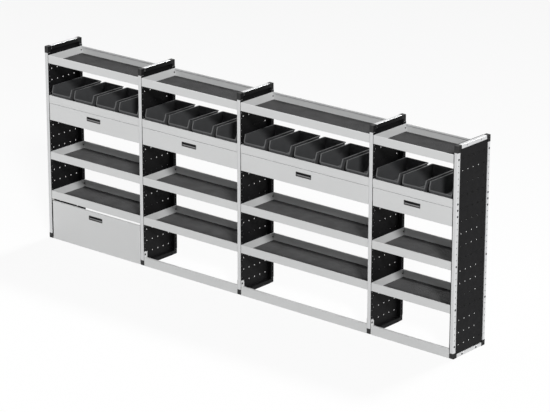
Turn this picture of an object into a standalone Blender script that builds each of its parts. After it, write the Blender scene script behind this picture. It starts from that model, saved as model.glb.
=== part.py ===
"""Van racking: five aluminium end frames carrying four bays of trays, bins, drawers and a flap.

The rack stands on z = 0 with its front towards -Y. The origin is the middle of its footprint.
"""
from math import cos, pi, sin

import bmesh
import bpy
from mathutils import Matrix, Vector

MM = 0.001
HALF = 0.5

# Angles below which neighbouring faces are one flat face, and above which their edge is sharp
FLAT_ANGLE = 0.001
SHARP_ANGLE = pi / 6

# Overall layout: bays are counted in modules that hold one bin each, heights in rows of post holes
BAY_MODULES = (4, 4, 5, 3)
HOLE_PITCH = 46.67 * MM
RACK_HEIGHT = 1595 * MM
RACK_DEPTH = 385 * MM
FIT_GAP = 0.3 * MM
CUT_OVERRUN = 4 * MM
FRONT_SETBACK = 1.5 * MM
SHEET = 1.2 * MM

# End frames: hollow aluminium profiles joined by plastic corner caps
POST_WIDTH = 34 * MM
POST_DEEP = 28 * MM
PROFILE_WALL = 2.2 * MM
PROFILE_ROUND = 6 * MM
CAP_RUN = 45 * MM
TOP_CAP_RISE = 54 * MM
BOTTOM_CAP_RISE = 44 * MM
CAP_ROUND = 7 * MM
CAP_LAP = 2 * MM
ROUND_STEPS = 3
HOLE_RADIUS = 3.5 * MM
HOLE_SIDES = 6

# Side panels: a rim on the bay side of the frame, and a field set deep inside it
PANEL_SHEET = 2 * MM
FIELD_INSET = 5 * MM

# Trays: the drop to the top one, the rows from it to the bin tray, and the middle tray's share of the rest
TRAY_HEIGHT = 64 * MM
TRAY_HEM = 8 * MM
HEM_DROP = 12 * MM
TOP_TRAY_DROP = 100 * MM
BIN_TRAY_STEP = 7
MIDDLE_TRAY_SHARE = 0.41
TAB_LAP = 16 * MM
NUT_RADIUS = 5.8 * MM
NUT_HEIGHT = 3.2 * MM
NUT_SIDES = 6

# Kick rails with a tab bent back along each post
KICK_CLEARANCE = 1 * MM
KICK_TOP = 72 * MM
KICK_LEDGE = 18 * MM
TAB_SHEET = 2 * MM
TAB_TOP = 117 * MM
TAB_DEPTH = 34 * MM
TAB_SLOPE = 14 * MM
TAB_ROW = 2

# Bolt heads on the outer faces of the rack, those of the runners counted in rows below the bin tray
BOLT_INSET = 13 * MM
HEAD_RADIUS = 6.4 * MM
CROWN_RADIUS = 4.4 * MM
HEAD_HEIGHT = 3.2 * MM
HEAD_SIDES = 8
RUNNER_BOLT_STEPS = (1, 2)
RAIL_BOLT_INSET = 108 * MM

# Bins, and the space that a bay's module leaves beside the rims of its bin
BIN_SPACING = 40 * MM
BIN_HEIGHT = 140 * MM
BIN_BASE_WIDTH = 186 * MM
BIN_BASE_LENGTH = 345 * MM
BIN_SIDE_DRAFT = 5 * MM
BIN_BACK_DRAFT = 8 * MM
BIN_WALL = 2.5 * MM
BIN_FRONT_CLEARANCE = 16 * MM
BIN_LIP_HEIGHT = 78 * MM
BIN_LIP_LEAN = 4 * MM
BIN_SIDE_START = 16 * MM
BIN_RIM = 3 * MM
BIN_SIDE_RIM = 7 * MM
BIN_RIM_DEEP = 6 * MM
BIN_COUNTS = (4, 4, 5, 3)

# Drawers and their telescopic runners
DRAWER_FRONT_HEIGHT = 136 * MM
DRAWER_TOP_GAP = 2.5 * MM
DRAWER_SIDE_GAP = 2.2 * MM
FRONT_PAN_DEPTH = 16 * MM
DRAWER_BOX_TOP = 116 * MM
DRAWER_BACK_CLEARANCE = 33 * MM
RUNNER_PLATE_HEIGHT = 104 * MM
RUNNER_PLATE_INSET = 3 * MM
RUNNER_SPACE = 12 * MM
RUNNER_WALL = 1.2 * MM
RUNNER_PLAY = 0.4 * MM
RUNNER_HALF_HEIGHT = 20 * MM
RUNNER_CENTRE_RISE = 54 * MM
RUNNER_REACH = 9.3 * MM
RUNNER_LENGTH = 345 * MM
RUNNER_START = 21 * MM

# Pull latches, measured from the middle of their bezel
BEZEL_WIDTH = 146 * MM
BEZEL_HEIGHT = 35 * MM
BEZEL_THICKNESS = 1 * MM
BEZEL_OVERLAP = 2.5 * MM
POCKET_WALL = 1.6 * MM
POCKET_BACK = 30 * MM
DRAWER_LATCH_RISE = 89 * MM
PADDLE_SIDE_GAP = 0.5 * MM
PIVOT_DEPTH = 14 * MM
PIVOT_RISE = 9.2 * MM
BARREL_RADIUS = 3 * MM
BARREL_STEPS = 4
PADDLE_SHEET = 2.8 * MM
PADDLE_BACK_DROP = 13 * MM
LIP_FRONT = 2.2 * MM
LIP_DROP = 20 * MM
LIP_HEIGHT = 9 * MM
LIP_THICKNESS = 3.4 * MM
ROD_RADIUS = 2.5 * MM
ROD_PLAY = 0.4 * MM
ROD_SIDES = 8
ARM_WIDTH = 12 * MM
ARM_THICKNESS = 4.5 * MM
ARM_BACK = 36 * MM
NOSE_THICKNESS = 3.7 * MM
NOSE_CLEARANCE = 0.5 * MM
KEEPER_SLOT_PLAY = 2 * MM
SLOT_SIDE_PLAY = 1 * MM
SLOT_DROP = 3 * MM
SLOT_RISE = 12.4 * MM

# Drop-down flap of the first bay, with its pivots and keepers
FLAP_BOTTOM = 2 * MM
FLAP_TOP = 321 * MM
FLAP_SIDE_GAP = 8 * MM
FLAP_RETURN = 16 * MM
FLAP_LATCH_CENTRE = 268.5 * MM
FLAP_PIVOT_DEPTH = 5.5 * MM
FLAP_PIVOT_RISE = 7 * MM
PIVOT_PIN_RADIUS = 3 * MM
PIVOT_PIN_REACH = 4 * MM
KEEPER_TAB_FRONT = 3 * MM
KEEPER_TAB_DEPTH = 24 * MM
KEEPER_ARM_REACH = 22 * MM
KEEPER_ARM_HEIGHT = 16 * MM
HOOK_OFFSET = 5 * MM
HOOK_WIDTH = 6 * MM
HOOK_RISE = 30 * MM
HOOK_CLEARANCE = 2.5 * MM

# Colours as linear red, green and blue, then roughness and metallic
ALUMINIUM = ("aluminium", (0.60, 0.61, 0.62), 0.38, 1.0)
GREY_PAINT = ("grey_paint", (0.56, 0.57, 0.57), 0.45, 0.0)
BLACK_PLASTIC = ("black_plastic", (0.018, 0.018, 0.019), 0.5, 0.0)
BIN_PLASTIC = ("bin_plastic", (0.050, 0.051, 0.053), 0.55, 0.0)
PADDLE_PLASTIC = ("paddle_plastic", (0.16, 0.16, 0.165), 0.5, 0.0)

# Places that everything follows
FRONT = -RACK_DEPTH / 2
BACK = RACK_DEPTH / 2
BAY_MODULE = BIN_BASE_WIDTH + 2 * (BIN_SIDE_DRAFT + BIN_SIDE_RIM) + BIN_SPACING
RACK_LENGTH = BAY_MODULE * sum(BAY_MODULES) + POST_WIDTH
BAY_COUNT = len(BAY_MODULES)
FRAME_LEFTS = [BAY_MODULE * sum(BAY_MODULES[:i]) - RACK_LENGTH / 2 for i in range(BAY_COUNT + 1)]
SHEET_FRONT = FRONT + FRONT_SETBACK
SHEET_BACK = BACK - FRONT_SETBACK
RIM_REACH = FIT_GAP + PANEL_SHEET
BOLT_LINES = (FRONT + BOLT_INSET, BACK - BOLT_INSET)
RAIL_BOLTS = (FRONT + RAIL_BOLT_INSET, BACK - RAIL_BOLT_INSET)
TOP_TRAY_ROW = int((RACK_HEIGHT - TOP_TRAY_DROP) / HOLE_PITCH)
BIN_TRAY_ROW = TOP_TRAY_ROW - BIN_TRAY_STEP
LOWER_TRAY_ROW = int((FLAP_TOP + TRAY_HEIGHT / 2) / HOLE_PITCH) + 1
MIDDLE_TRAY_ROW = LOWER_TRAY_ROW + round((BIN_TRAY_ROW - LOWER_TRAY_ROW) * MIDDLE_TRAY_SHARE)
RUNNER_ROWS = tuple(BIN_TRAY_ROW - step for step in RUNNER_BOLT_STEPS)
DRAWER_TOP = BIN_TRAY_ROW * HOLE_PITCH - TRAY_HEIGHT / 2 - DRAWER_TOP_GAP
DRAWER_BOTTOM = DRAWER_TOP - DRAWER_FRONT_HEIGHT
DRAWER_LATCH_CENTRE = DRAWER_BOTTOM + DRAWER_LATCH_RISE
NOSE_RISE = DRAWER_FRONT_HEIGHT + DRAWER_TOP_GAP - DRAWER_LATCH_RISE - NOSE_CLEARANCE
DRAWER_SIDE = FIT_GAP + SHEET + RUNNER_SPACE
TRAY_ROWS = (TOP_TRAY_ROW, BIN_TRAY_ROW, MIDDLE_TRAY_ROW, LOWER_TRAY_ROW)


def bay_faces(bay):
    """Give the x of the two faces that the pieces of a bay fit between."""
    left = FRAME_LEFTS[bay] + POST_WIDTH + RIM_REACH
    right = FRAME_LEFTS[bay + 1]
    if bay == BAY_COUNT - 1:
        right -= RIM_REACH
    return left, right


def bay_centre(bay):
    """Give the x of the middle of a bay."""
    left, right = bay_faces(bay)
    return (left + right) / 2


def tray_bottom(row):
    """Give the z of the underside of the tray that hangs on a row of post holes."""
    return row * HOLE_PITCH - TRAY_HEIGHT / 2


def material(finish):
    """Give the material of a finish, made on first use."""
    name, colour, roughness, metallic = finish
    found = bpy.data.materials.get(name)
    if found:
        return found
    made = bpy.data.materials.new(name)
    made.use_nodes = True
    shader = made.node_tree.nodes["Principled BSDF"]
    shader.inputs["Base Color"].default_value = (*colour, 1)
    shader.inputs["Roughness"].default_value = roughness
    shader.inputs["Metallic"].default_value = metallic
    made.diffuse_color = (*colour, 1)
    return made


def prism(outline, axis, start, end):
    """Extrude a flat outline along x, y or z. Its points are given in the other two axes, in order."""
    solid = bmesh.new()
    place = {
        "x": lambda point, along: (along, point[0], point[1]),
        "y": lambda point, along: (point[0], along, point[1]),
        "z": lambda point, along: (point[0], point[1], along),
    }[axis]
    ends = []
    for along in (start, end):
        ends.append([solid.verts.new(place(point, along)) for point in outline])
    count = len(outline)
    for i in range(count):
        j = (i + 1) % count
        solid.faces.new((ends[0][i], ends[0][j], ends[1][j], ends[1][i]))
    for ring in ends:
        solid.faces.new(ring)
    bmesh.ops.recalc_face_normals(solid, faces=solid.faces)
    return solid


def box(low, high):
    """Make a box between two corners."""
    outline = [(low[0], low[1]), (high[0], low[1]), (high[0], high[1]), (low[0], high[1])]
    return prism(outline, "z", low[2], high[2])


def circle(centre, radius, sides):
    """Give the corners of a regular outline around a centre."""
    turn = 2 * pi / sides
    return [
        (centre[0] + radius * cos(turn * (i + HALF)), centre[1] + radius * sin(turn * (i + HALF)))
        for i in range(sides)
    ]


def moved(solid, offset=(0, 0, 0), flip=(1, 1, 1)):
    """Give a copy of a solid, mirrored about the origin by flip and then moved."""
    copy = solid.copy()
    bmesh.ops.transform(copy, matrix=Matrix.Diagonal((*flip, 1)), verts=copy.verts)
    bmesh.ops.translate(copy, vec=Vector(offset), verts=copy.verts)
    bmesh.ops.recalc_face_normals(copy, faces=copy.faces)
    return copy


def gathered(solids):
    """Put solids that don't touch into one mesh, to be joined to another solid or cut from it."""
    whole = bmesh.new()
    for solid in solids:
        mesh = bpy.data.meshes.new("piece")
        solid.to_mesh(mesh)
        whole.from_mesh(mesh)
        bpy.data.meshes.remove(mesh)
    return whole


def scratch_object(solid, name):
    """Put a solid into the scene as a helper for a boolean."""
    mesh = bpy.data.meshes.new(name)
    solid.to_mesh(mesh)
    helper = bpy.data.objects.new(name, mesh)
    helper.hide_render = True
    helper.display_type = "WIRE"
    bpy.context.collection.objects.link(helper)
    return helper


def combined(base, tool, operation):
    """Give the exact union or difference of two solids."""
    body = scratch_object(base, "body_helper")
    cutter = scratch_object(tool, "tool_helper")
    modifier = body.modifiers.new("shape", "BOOLEAN")
    modifier.operation = operation
    modifier.solver = "EXACT"
    modifier.object = cutter
    bpy.context.view_layer.update()
    evaluated = body.evaluated_get(bpy.context.evaluated_depsgraph_get())
    result = bmesh.new()
    result.from_mesh(evaluated.to_mesh())
    evaluated.to_mesh_clear()
    for helper in (body, cutter):
        mesh = helper.data
        bpy.data.objects.remove(helper)
        bpy.data.meshes.remove(mesh)
    bmesh.ops.dissolve_limit(
        result, angle_limit=FLAT_ANGLE, verts=result.verts, edges=result.edges, delimit=set()
    )
    return result


def fused(*solids):
    """Give the union of solids that overlap."""
    whole = solids[0]
    for solid in solids[1:]:
        whole = combined(whole, solid, "UNION")
    return whole


def cut(solid, *tools):
    """Give a solid with each tool's shape taken out."""
    for tool in tools:
        solid = combined(solid, tool, "DIFFERENCE")
    return solid


def add_object(name, solid, finish, origin=(0, 0, 0)):
    """Add a solid in rack coordinates as a named object whose origin is the point given."""
    bmesh.ops.translate(solid, vec=-Vector(origin), verts=solid.verts)
    mesh = bpy.data.meshes.new(name)
    solid.to_mesh(mesh)
    mesh.materials.append(material(finish))
    mesh.shade_smooth()
    mesh.set_sharp_from_angle(angle=SHARP_ANGLE)
    piece = bpy.data.objects.new(name, mesh)
    piece.location = origin
    bpy.context.collection.objects.link(piece)
    return piece


def add_copy(name, original, location):
    """Add an object that shares another one's mesh."""
    piece = bpy.data.objects.new(name, original.data)
    piece.location = location
    bpy.context.collection.objects.link(piece)
    return piece


# End frames

def quarter_arc(centre, radius):
    """Give the points of the quarter circle that rounds the corner at (0, 0), from side to side."""
    turns = [pi + step * pi / 2 / ROUND_STEPS for step in range(ROUND_STEPS + 1)]
    return [(centre + radius * cos(turn), centre + radius * sin(turn)) for turn in turns]


def rounded_profile(width, deep):
    """Give a profile's outline, width by deep, with the two corners at depth 0 rounded."""
    left = quarter_arc(PROFILE_ROUND, PROFILE_ROUND)
    right = [(width - x, depth) for x, depth in reversed(left)]
    return [(0, deep)] + left + right + [(width, deep)]


def profile_tube(axis, start, end, to_place):
    """Make one hollow profile; to_place turns a depth from the frame's outside into a position."""
    outer = [(x, to_place(depth)) for x, depth in rounded_profile(POST_WIDTH, POST_DEEP)]
    low = PROFILE_WALL
    inner = [
        (x, to_place(depth))
        for x, depth in (
            (low, low), (POST_WIDTH - low, low), (POST_WIDTH - low, POST_DEEP - low), (low, POST_DEEP - low)
        )
    ]
    return cut(prism(outer, axis, start, end), prism(inner, axis, start - CUT_OVERRUN, end + CUT_OVERRUN))


def corner_cap(rise):
    """Make a corner cap in its own frame: y and z run inwards from the frame's outer corner."""
    legs = [(CAP_RUN, 0), (CAP_RUN, POST_DEEP), (POST_DEEP, POST_DEEP), (POST_DEEP, rise), (0, rise)]
    return prism(legs + quarter_arc(CAP_ROUND, CAP_ROUND), "x", 0, POST_WIDTH)


def corner_caps():
    """Give the four corner caps of an end frame whose left face is at x = 0."""
    caps = []
    for y, way in ((FRONT, 1), (BACK, -1)):
        caps.append(moved(corner_cap(BOTTOM_CAP_RISE), (0, y, 0), (1, way, 1)))
        caps.append(moved(corner_cap(TOP_CAP_RISE), (0, y, RACK_HEIGHT), (1, way, -1)))
    return gathered(caps)


def frame_holes():
    """Give the cutters for the holes that bolts pass through, in the posts and in the rails."""
    places = [(y, row * HOLE_PITCH) for y in BOLT_LINES for row in TRAY_ROWS]
    places += [(y, z) for y in RAIL_BOLTS for z in (POST_DEEP / 2, RACK_HEIGHT - POST_DEEP / 2)]
    return gathered([
        prism(circle(place, HOLE_RADIUS, HOLE_SIDES), "x", -CUT_OVERRUN, POST_WIDTH + CUT_OVERRUN)
        for place in places
    ])


def end_frame():
    """Make one end frame, its left face at x = 0: two posts and two rails held by four caps."""
    post_bottom = BOTTOM_CAP_RISE - CAP_LAP
    post_top = RACK_HEIGHT - TOP_CAP_RISE + CAP_LAP
    rail_front = FRONT + CAP_RUN - CAP_LAP
    rail_back = BACK - CAP_RUN + CAP_LAP
    tubes = gathered([
        profile_tube("z", post_bottom, post_top, lambda depth: FRONT + depth),
        profile_tube("z", post_bottom, post_top, lambda depth: BACK - depth),
        profile_tube("y", rail_front, rail_back, lambda depth: depth),
        profile_tube("y", rail_front, rail_back, lambda depth: RACK_HEIGHT - depth),
    ])
    return cut(fused(tubes, corner_caps()), frame_holes())


def bolt_head(x, y, z, way):
    """Make a domed bolt head on a face at x, pointing along x by way, which is 1 or -1."""
    head = bmesh.new()
    seat = x - way * PROFILE_WALL / 2
    crown = x + way * HEAD_HEIGHT
    rings = []
    for along, radius in ((seat, HEAD_RADIUS), (x, HEAD_RADIUS), (crown, CROWN_RADIUS)):
        rings.append([head.verts.new((along, *point)) for point in circle((y, z), radius, HEAD_SIDES)])
    for near, far in zip(rings, rings[1:]):
        for i in range(HEAD_SIDES):
            j = (i + 1) % HEAD_SIDES
            head.faces.new((near[i], near[j], far[j], far[i]))
    head.faces.new(rings[0])
    head.faces.new(rings[-1])
    bmesh.ops.recalc_face_normals(head, faces=head.faces)
    return head


def outer_face_heads(x, way):
    """Give the bolt heads on the outer face of an end frame: trays, runners, kick rail and panel."""
    rows = TRAY_ROWS + RUNNER_ROWS
    places = [(y, row * HOLE_PITCH) for y in BOLT_LINES for row in rows]
    places.append((BOLT_LINES[0], TAB_ROW * HOLE_PITCH))
    places += [(y, POST_DEEP / 2) for y in RAIL_BOLTS]
    return gathered([bolt_head(x, y, z, way) for y, z in places])


def flap_pin(x, way):
    """Give the pin that the flap turns on, standing on a cap's face at x and pointing by way."""
    end = x + way * (RIM_REACH + FLAP_SIDE_GAP + PIVOT_PIN_REACH)
    return prism(circle(flap_pivot(), PIVOT_PIN_RADIUS, ROD_SIDES), "x", x - way * CAP_LAP, end)


def side_panel():
    """Make a side panel for a frame whose left face is at x = 0, its rim on the frame's right face."""
    rim_low = POST_WIDTH + FIT_GAP
    rim_high = rim_low + PANEL_SHEET
    run = CAP_RUN + FIT_GAP
    low_rise = BOTTOM_CAP_RISE + FIT_GAP
    high = RACK_HEIGHT - TOP_CAP_RISE - FIT_GAP
    outline = [
        (FRONT + run, 0), (BACK - run, 0), (BACK - run, low_rise), (BACK, low_rise),
        (BACK, high), (BACK - run, high), (BACK - run, RACK_HEIGHT), (FRONT + run, RACK_HEIGHT),
        (FRONT + run, high), (FRONT, high), (FRONT, low_rise), (FRONT + run, low_rise),
    ]
    rim = prism(outline, "x", rim_low, rim_high)
    inset = POST_DEEP + FIT_GAP
    pan_low = Vector((FIELD_INSET, FRONT + inset, inset))
    pan_high = Vector((rim_high, BACK - inset, RACK_HEIGHT - inset))
    sheet = Vector((PANEL_SHEET, PANEL_SHEET, PANEL_SHEET))
    hollow_high = pan_high - sheet
    hollow_high.x = rim_high + CUT_OVERRUN
    return cut(fused(rim, box(pan_low, pan_high)), box(pan_low + sheet, hollow_high))


def add_frames():
    """Add the end frames: bolt heads on both outer faces, and the flap's pins at the first bay."""
    plain = end_frame()
    outer_face = FRAME_LEFTS[-1] + POST_WIDTH
    extras = {
        0: (outer_face_heads(FRAME_LEFTS[0], -1), flap_pin(FRAME_LEFTS[0] + POST_WIDTH, 1)),
        1: (flap_pin(FRAME_LEFTS[1], -1),),
        BAY_COUNT: (outer_face_heads(outer_face, 1),),
    }
    for i, left in enumerate(FRAME_LEFTS):
        frame = fused(moved(plain, (left, 0, 0)), *extras.get(i, ()))
        add_object(f"end_frame_{i + 1}", frame, ALUMINIUM, (left, 0, 0))


def add_panels():
    """Add the side panels, all alike but the last, which is turned round to face its bay."""
    original = add_object("side_panel_1", side_panel(), BLACK_PLASTIC)
    original.location.x = FRAME_LEFTS[0]
    for i in range(1, BAY_COUNT):
        add_copy(f"side_panel_{i + 1}", original, (FRAME_LEFTS[i], 0, 0))
    left = FRAME_LEFTS[-1]
    turned = moved(side_panel(), (left + POST_WIDTH, 0, 0), (-1, 1, 1))
    add_object(f"side_panel_{BAY_COUNT + 1}", turned, BLACK_PLASTIC, (left, 0, 0))


# Trays and kick rails

def tray_pan(bay, row):
    """Make the folded sheet of one tray: a floor, four walls, and the front and back edges folded in."""
    left, right = bay_faces(bay)
    bottom = tray_bottom(row)
    top = bottom + TRAY_HEIGHT
    low = (left + FIT_GAP, SHEET_FRONT, bottom)
    high = (right - FIT_GAP, SHEET_BACK, top)
    under_hem = box(
        (low[0] + SHEET, low[1] + SHEET, low[2] + SHEET), (high[0] - SHEET, high[1] - SHEET, top - SHEET)
    )
    mouth = box(
        (low[0] + SHEET, low[1] + TRAY_HEM, low[2] + 2 * SHEET),
        (high[0] - SHEET, high[1] - TRAY_HEM, top + CUT_OVERRUN),
    )
    pan = cut(box(low, high), under_hem, mouth)
    drop = top - HEM_DROP
    for start in (low[1] + TRAY_HEM - SHEET, high[1] - TRAY_HEM):
        fold = box((low[0] + SHEET / 2, start, drop), (high[0] - SHEET / 2, start + SHEET, top - SHEET / 2))
        pan = fused(pan, fold)
    return pan


def clinch_nuts(bay, row):
    """Give the four nuts that are pressed into a tray's end walls, where its bolts arrive."""
    left, right = bay_faces(bay)
    height = row * HOLE_PITCH
    wall = FIT_GAP + SHEET
    nuts = []
    for y in BOLT_LINES:
        outline = circle((y, height), NUT_RADIUS, NUT_SIDES)
        nuts.append(prism(outline, "x", left + wall - SHEET / 2, left + wall + NUT_HEIGHT))
        nuts.append(prism(outline, "x", right - wall - NUT_HEIGHT, right - wall + SHEET / 2))
    return gathered(nuts)


def tray(bay, row):
    """Make one tray with its nuts, hung on a row of post holes."""
    return fused(tray_pan(bay, row), clinch_nuts(bay, row))


def keeper_slot(bay):
    """Give the cutter for the slot in a bin tray's floor that the drawer's latch arm catches in."""
    bottom = tray_bottom(BIN_TRAY_ROW)
    centre = bay_centre(bay)
    half = ARM_WIDTH / 2 + KEEPER_SLOT_PLAY
    back = FRONT + ARM_BACK
    return box(
        (centre - half, back - NOSE_THICKNESS - KEEPER_SLOT_PLAY, bottom - CUT_OVERRUN),
        (centre + half, back + KEEPER_SLOT_PLAY, bottom + CUT_OVERRUN),
    )


def flap_keeper():
    """Make the left keeper for a bay face at x = 0: a tab below the tray and an arm across its back."""
    low = FLAP_LATCH_CENTRE + HOOK_RISE + HOOK_CLEARANCE
    back = FRONT + KEEPER_TAB_FRONT + KEEPER_TAB_DEPTH
    tab = box(
        (FIT_GAP, FRONT + KEEPER_TAB_FRONT, low),
        (FIT_GAP + SHEET, back, tray_bottom(LOWER_TRAY_ROW) + TAB_LAP),
    )
    arm = box((FIT_GAP, back - SHEET, low), (KEEPER_ARM_REACH, back, low + KEEPER_ARM_HEIGHT))
    return fused(tab, arm)


def add_trays():
    """Add the four trays of each bay, with the runner plates and flap keepers that hang from them."""
    runner = runner_carrier()
    for bay in range(BAY_COUNT):
        number = bay + 1
        add_object(f"top_tray_{number}", tray(bay, TOP_TRAY_ROW), GREY_PAINT)
        bin_tray = fused(tray(bay, BIN_TRAY_ROW), both_sides(runner, bay))
        add_object(f"bin_tray_{number}", cut(bin_tray, keeper_slot(bay)), GREY_PAINT)
        add_object(f"middle_tray_{number}", tray(bay, MIDDLE_TRAY_ROW), GREY_PAINT)
        lower = tray(bay, LOWER_TRAY_ROW)
        if bay == 0:
            lower = fused(lower, both_sides(flap_keeper(), bay))
        add_object(f"lower_tray_{number}", lower, GREY_PAINT)


def kick_rail(bay):
    """Make the rail at the foot of a bay, with its two end tabs."""
    left, right = bay_faces(bay)
    low = left + FIT_GAP
    high = right - FIT_GAP
    ledge_back = SHEET_FRONT + KICK_LEDGE
    outline = [
        (SHEET_FRONT, KICK_CLEARANCE), (SHEET_FRONT + SHEET, KICK_CLEARANCE),
        (SHEET_FRONT + SHEET, KICK_TOP - SHEET), (ledge_back, KICK_TOP - SHEET),
        (ledge_back, KICK_TOP), (SHEET_FRONT, KICK_TOP),
    ]
    tab_back = SHEET_FRONT + TAB_DEPTH
    tab_outline = [
        (SHEET_FRONT, KICK_CLEARANCE), (tab_back, KICK_CLEARANCE), (tab_back, TAB_TOP - TAB_SLOPE),
        (tab_back - TAB_SLOPE, TAB_TOP), (SHEET_FRONT, TAB_TOP),
    ]
    return fused(
        prism(outline, "x", low, high),
        prism(tab_outline, "x", low, low + TAB_SHEET),
        prism(tab_outline, "x", high - TAB_SHEET, high),
    )


def add_kick_rails():
    """Add the kick rails of every bay but the first, where the flap reaches the floor."""
    for bay in range(1, BAY_COUNT):
        add_object(f"kick_rail_{bay + 1}", kick_rail(bay), GREY_PAINT)


# Bins

def drafted_prism(outline, half_base, draft):
    """Extrude a (y, z) outline both ways along x, its half width growing by draft over BIN_HEIGHT."""
    solid = bmesh.new()
    rings = []
    for side in (-1, 1):
        rings.append([
            solid.verts.new((side * (half_base + draft * z / BIN_HEIGHT), y, z)) for y, z in outline
        ])
    for i in range(len(outline)):
        j = (i + 1) % len(outline)
        solid.faces.new((rings[0][i], rings[0][j], rings[1][j], rings[1][i]))
    for ring in rings:
        solid.faces.new(ring)
    bmesh.ops.recalc_face_normals(solid, faces=solid.faces)
    return solid


def bin_body():
    """Make one open-fronted bin, the middle of its base's front edge at the origin."""
    back = BIN_BASE_LENGTH + BIN_BACK_DRAFT
    half = BIN_BASE_WIDTH / 2
    side_outline = [
        (0, 0), (BIN_BASE_LENGTH, 0), (back, BIN_HEIGHT), (BIN_SIDE_START, BIN_HEIGHT),
        (-BIN_LIP_LEAN, BIN_LIP_HEIGHT),
    ]
    rim_front = -BIN_LIP_LEAN - BIN_RIM
    under = BIN_HEIGHT - BIN_RIM_DEEP
    rim_outline = [
        (back + BIN_RIM, under), (back + BIN_RIM, BIN_HEIGHT), (BIN_SIDE_START, BIN_HEIGHT),
        (rim_front, BIN_LIP_HEIGHT), (rim_front, BIN_LIP_HEIGHT - BIN_RIM_DEEP),
        (0, BIN_LIP_HEIGHT - BIN_RIM_DEEP), (BIN_SIDE_START + BIN_RIM, under),
    ]
    outside = fused(
        drafted_prism(side_outline, half, BIN_SIDE_DRAFT),
        drafted_prism(rim_outline, half + BIN_SIDE_RIM, BIN_SIDE_DRAFT),
    )
    ahead = rim_front - CUT_OVERRUN
    above = BIN_HEIGHT + CUT_OVERRUN
    wall = BIN_WALL
    hollow_outline = [
        (wall, wall), (BIN_BASE_LENGTH - wall, wall), (back - wall, BIN_HEIGHT), (back - wall, above),
        (ahead, above), (ahead, BIN_LIP_HEIGHT), (wall - BIN_LIP_LEAN, BIN_LIP_HEIGHT),
    ]
    return cut(outside, drafted_prism(hollow_outline, half - wall, BIN_SIDE_DRAFT))


def add_bins():
    """Add the bins, side by side on the floors of the bin trays."""
    base = tray_bottom(BIN_TRAY_ROW) + SHEET + FIT_GAP
    front = FRONT + BIN_FRONT_CLEARANCE
    original = None
    number = 0
    for bay, count in enumerate(BIN_COUNTS):
        left, right = bay_faces(bay)
        pitch = (right - left) / count
        for i in range(count):
            number += 1
            name = f"bin_{number:02d}"
            place = (left + pitch * (i + HALF), front, base)
            if original:
                add_copy(name, original, place)
            else:
                original = add_object(name, bin_body(), BIN_PLASTIC)
                original.location = place


# Pull latches

def latch_housing(centre, height):
    """Make the black pocket and bezel of a pull latch around a point on the front."""
    half_wide = BEZEL_WIDTH / 2
    half_high = BEZEL_HEIGHT / 2
    bezel_back = SHEET_FRONT - FIT_GAP
    bezel = box(
        (centre - half_wide, bezel_back - BEZEL_THICKNESS, height - half_high),
        (centre + half_wide, bezel_back, height + half_high),
    )
    wide = half_wide - BEZEL_OVERLAP
    high = half_high - BEZEL_OVERLAP
    pocket_back = FRONT + POCKET_BACK
    pocket = box((centre - wide, bezel_back - BEZEL_THICKNESS, height - high),
                 (centre + wide, pocket_back, height + high))
    hollow = box((centre - wide + POCKET_WALL, FRONT - CUT_OVERRUN, height - high + POCKET_WALL),
                 (centre + wide - POCKET_WALL, pocket_back - POCKET_WALL, height + high - POCKET_WALL))
    slot_half = ARM_WIDTH / 2 + SLOT_SIDE_PLAY
    slot = box((centre - slot_half, pocket_back - 2 * POCKET_WALL, height - SLOT_DROP),
               (centre + slot_half, pocket_back + CUT_OVERRUN, height + SLOT_RISE))
    pivot = (FRONT + PIVOT_DEPTH, height + PIVOT_RISE)
    bore = prism(circle(pivot, ROD_RADIUS + ROD_PLAY, ROD_SIDES), "x",
                 centre - half_wide - CUT_OVERRUN, centre + half_wide + CUT_OVERRUN)
    return cut(fused(bezel, pocket), hollow, slot, bore)


def latch_cutout(centre, height):
    """Give the cutter for the hole in a front that a latch's pocket passes through."""
    wide = BEZEL_WIDTH / 2 - BEZEL_OVERLAP + FIT_GAP
    high = BEZEL_HEIGHT / 2 - BEZEL_OVERLAP + FIT_GAP
    low = (centre - wide, FRONT - CUT_OVERRUN, height - high)
    return box(low, (centre + wide, FRONT + POCKET_BACK, height + high))


def paddle_outline(height):
    """Give the (y, z) outline of a paddle: a barrel, a plate hanging from it and a lip to pull."""
    y = FRONT + PIVOT_DEPTH
    z = height + PIVOT_RISE
    r = BARREL_RADIUS
    turns = [pi * step / BARREL_STEPS for step in range(BARREL_STEPS + 1)]
    arc = [(y + r * cos(turn), z + r * sin(turn)) for turn in turns]
    plate_front = y + r - PADDLE_SHEET
    plate_bottom = z - PADDLE_BACK_DROP
    lip = FRONT + LIP_FRONT
    lip_back = lip + LIP_THICKNESS
    lip_bottom = z - LIP_DROP
    lip_top = lip_bottom + LIP_HEIGHT
    return arc + [
        (y - r, z - r / 2), (plate_front, z - r), (plate_front, plate_bottom + PADDLE_SHEET),
        (lip_back, lip_bottom + PADDLE_SHEET), (lip_back, lip_top), (lip, lip_top),
        (lip, lip_bottom), (lip_back, lip_bottom), (y + r, plate_bottom),
    ]


def arm_outline(height, rise):
    """Give the (y, z) outline of a latch arm that runs back from the barrel and turns up to its nose."""
    y = FRONT + PIVOT_DEPTH
    z = height + PIVOT_RISE
    half = ARM_THICKNESS / 2
    back = FRONT + ARM_BACK
    nose = height + rise
    return [
        (y, z - half), (back - half, z - half), (back, z), (back, nose),
        (back - NOSE_THICKNESS, nose), (back - NOSE_THICKNESS, z + half), (y, z + half),
    ]


def paddle_body(centre, height):
    """Make the paddle plate that fills a latch's pocket from side to side."""
    half = BEZEL_WIDTH / 2 - BEZEL_OVERLAP - POCKET_WALL - PADDLE_SIDE_GAP
    return prism(paddle_outline(height), "x", centre - half, centre + half)


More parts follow.
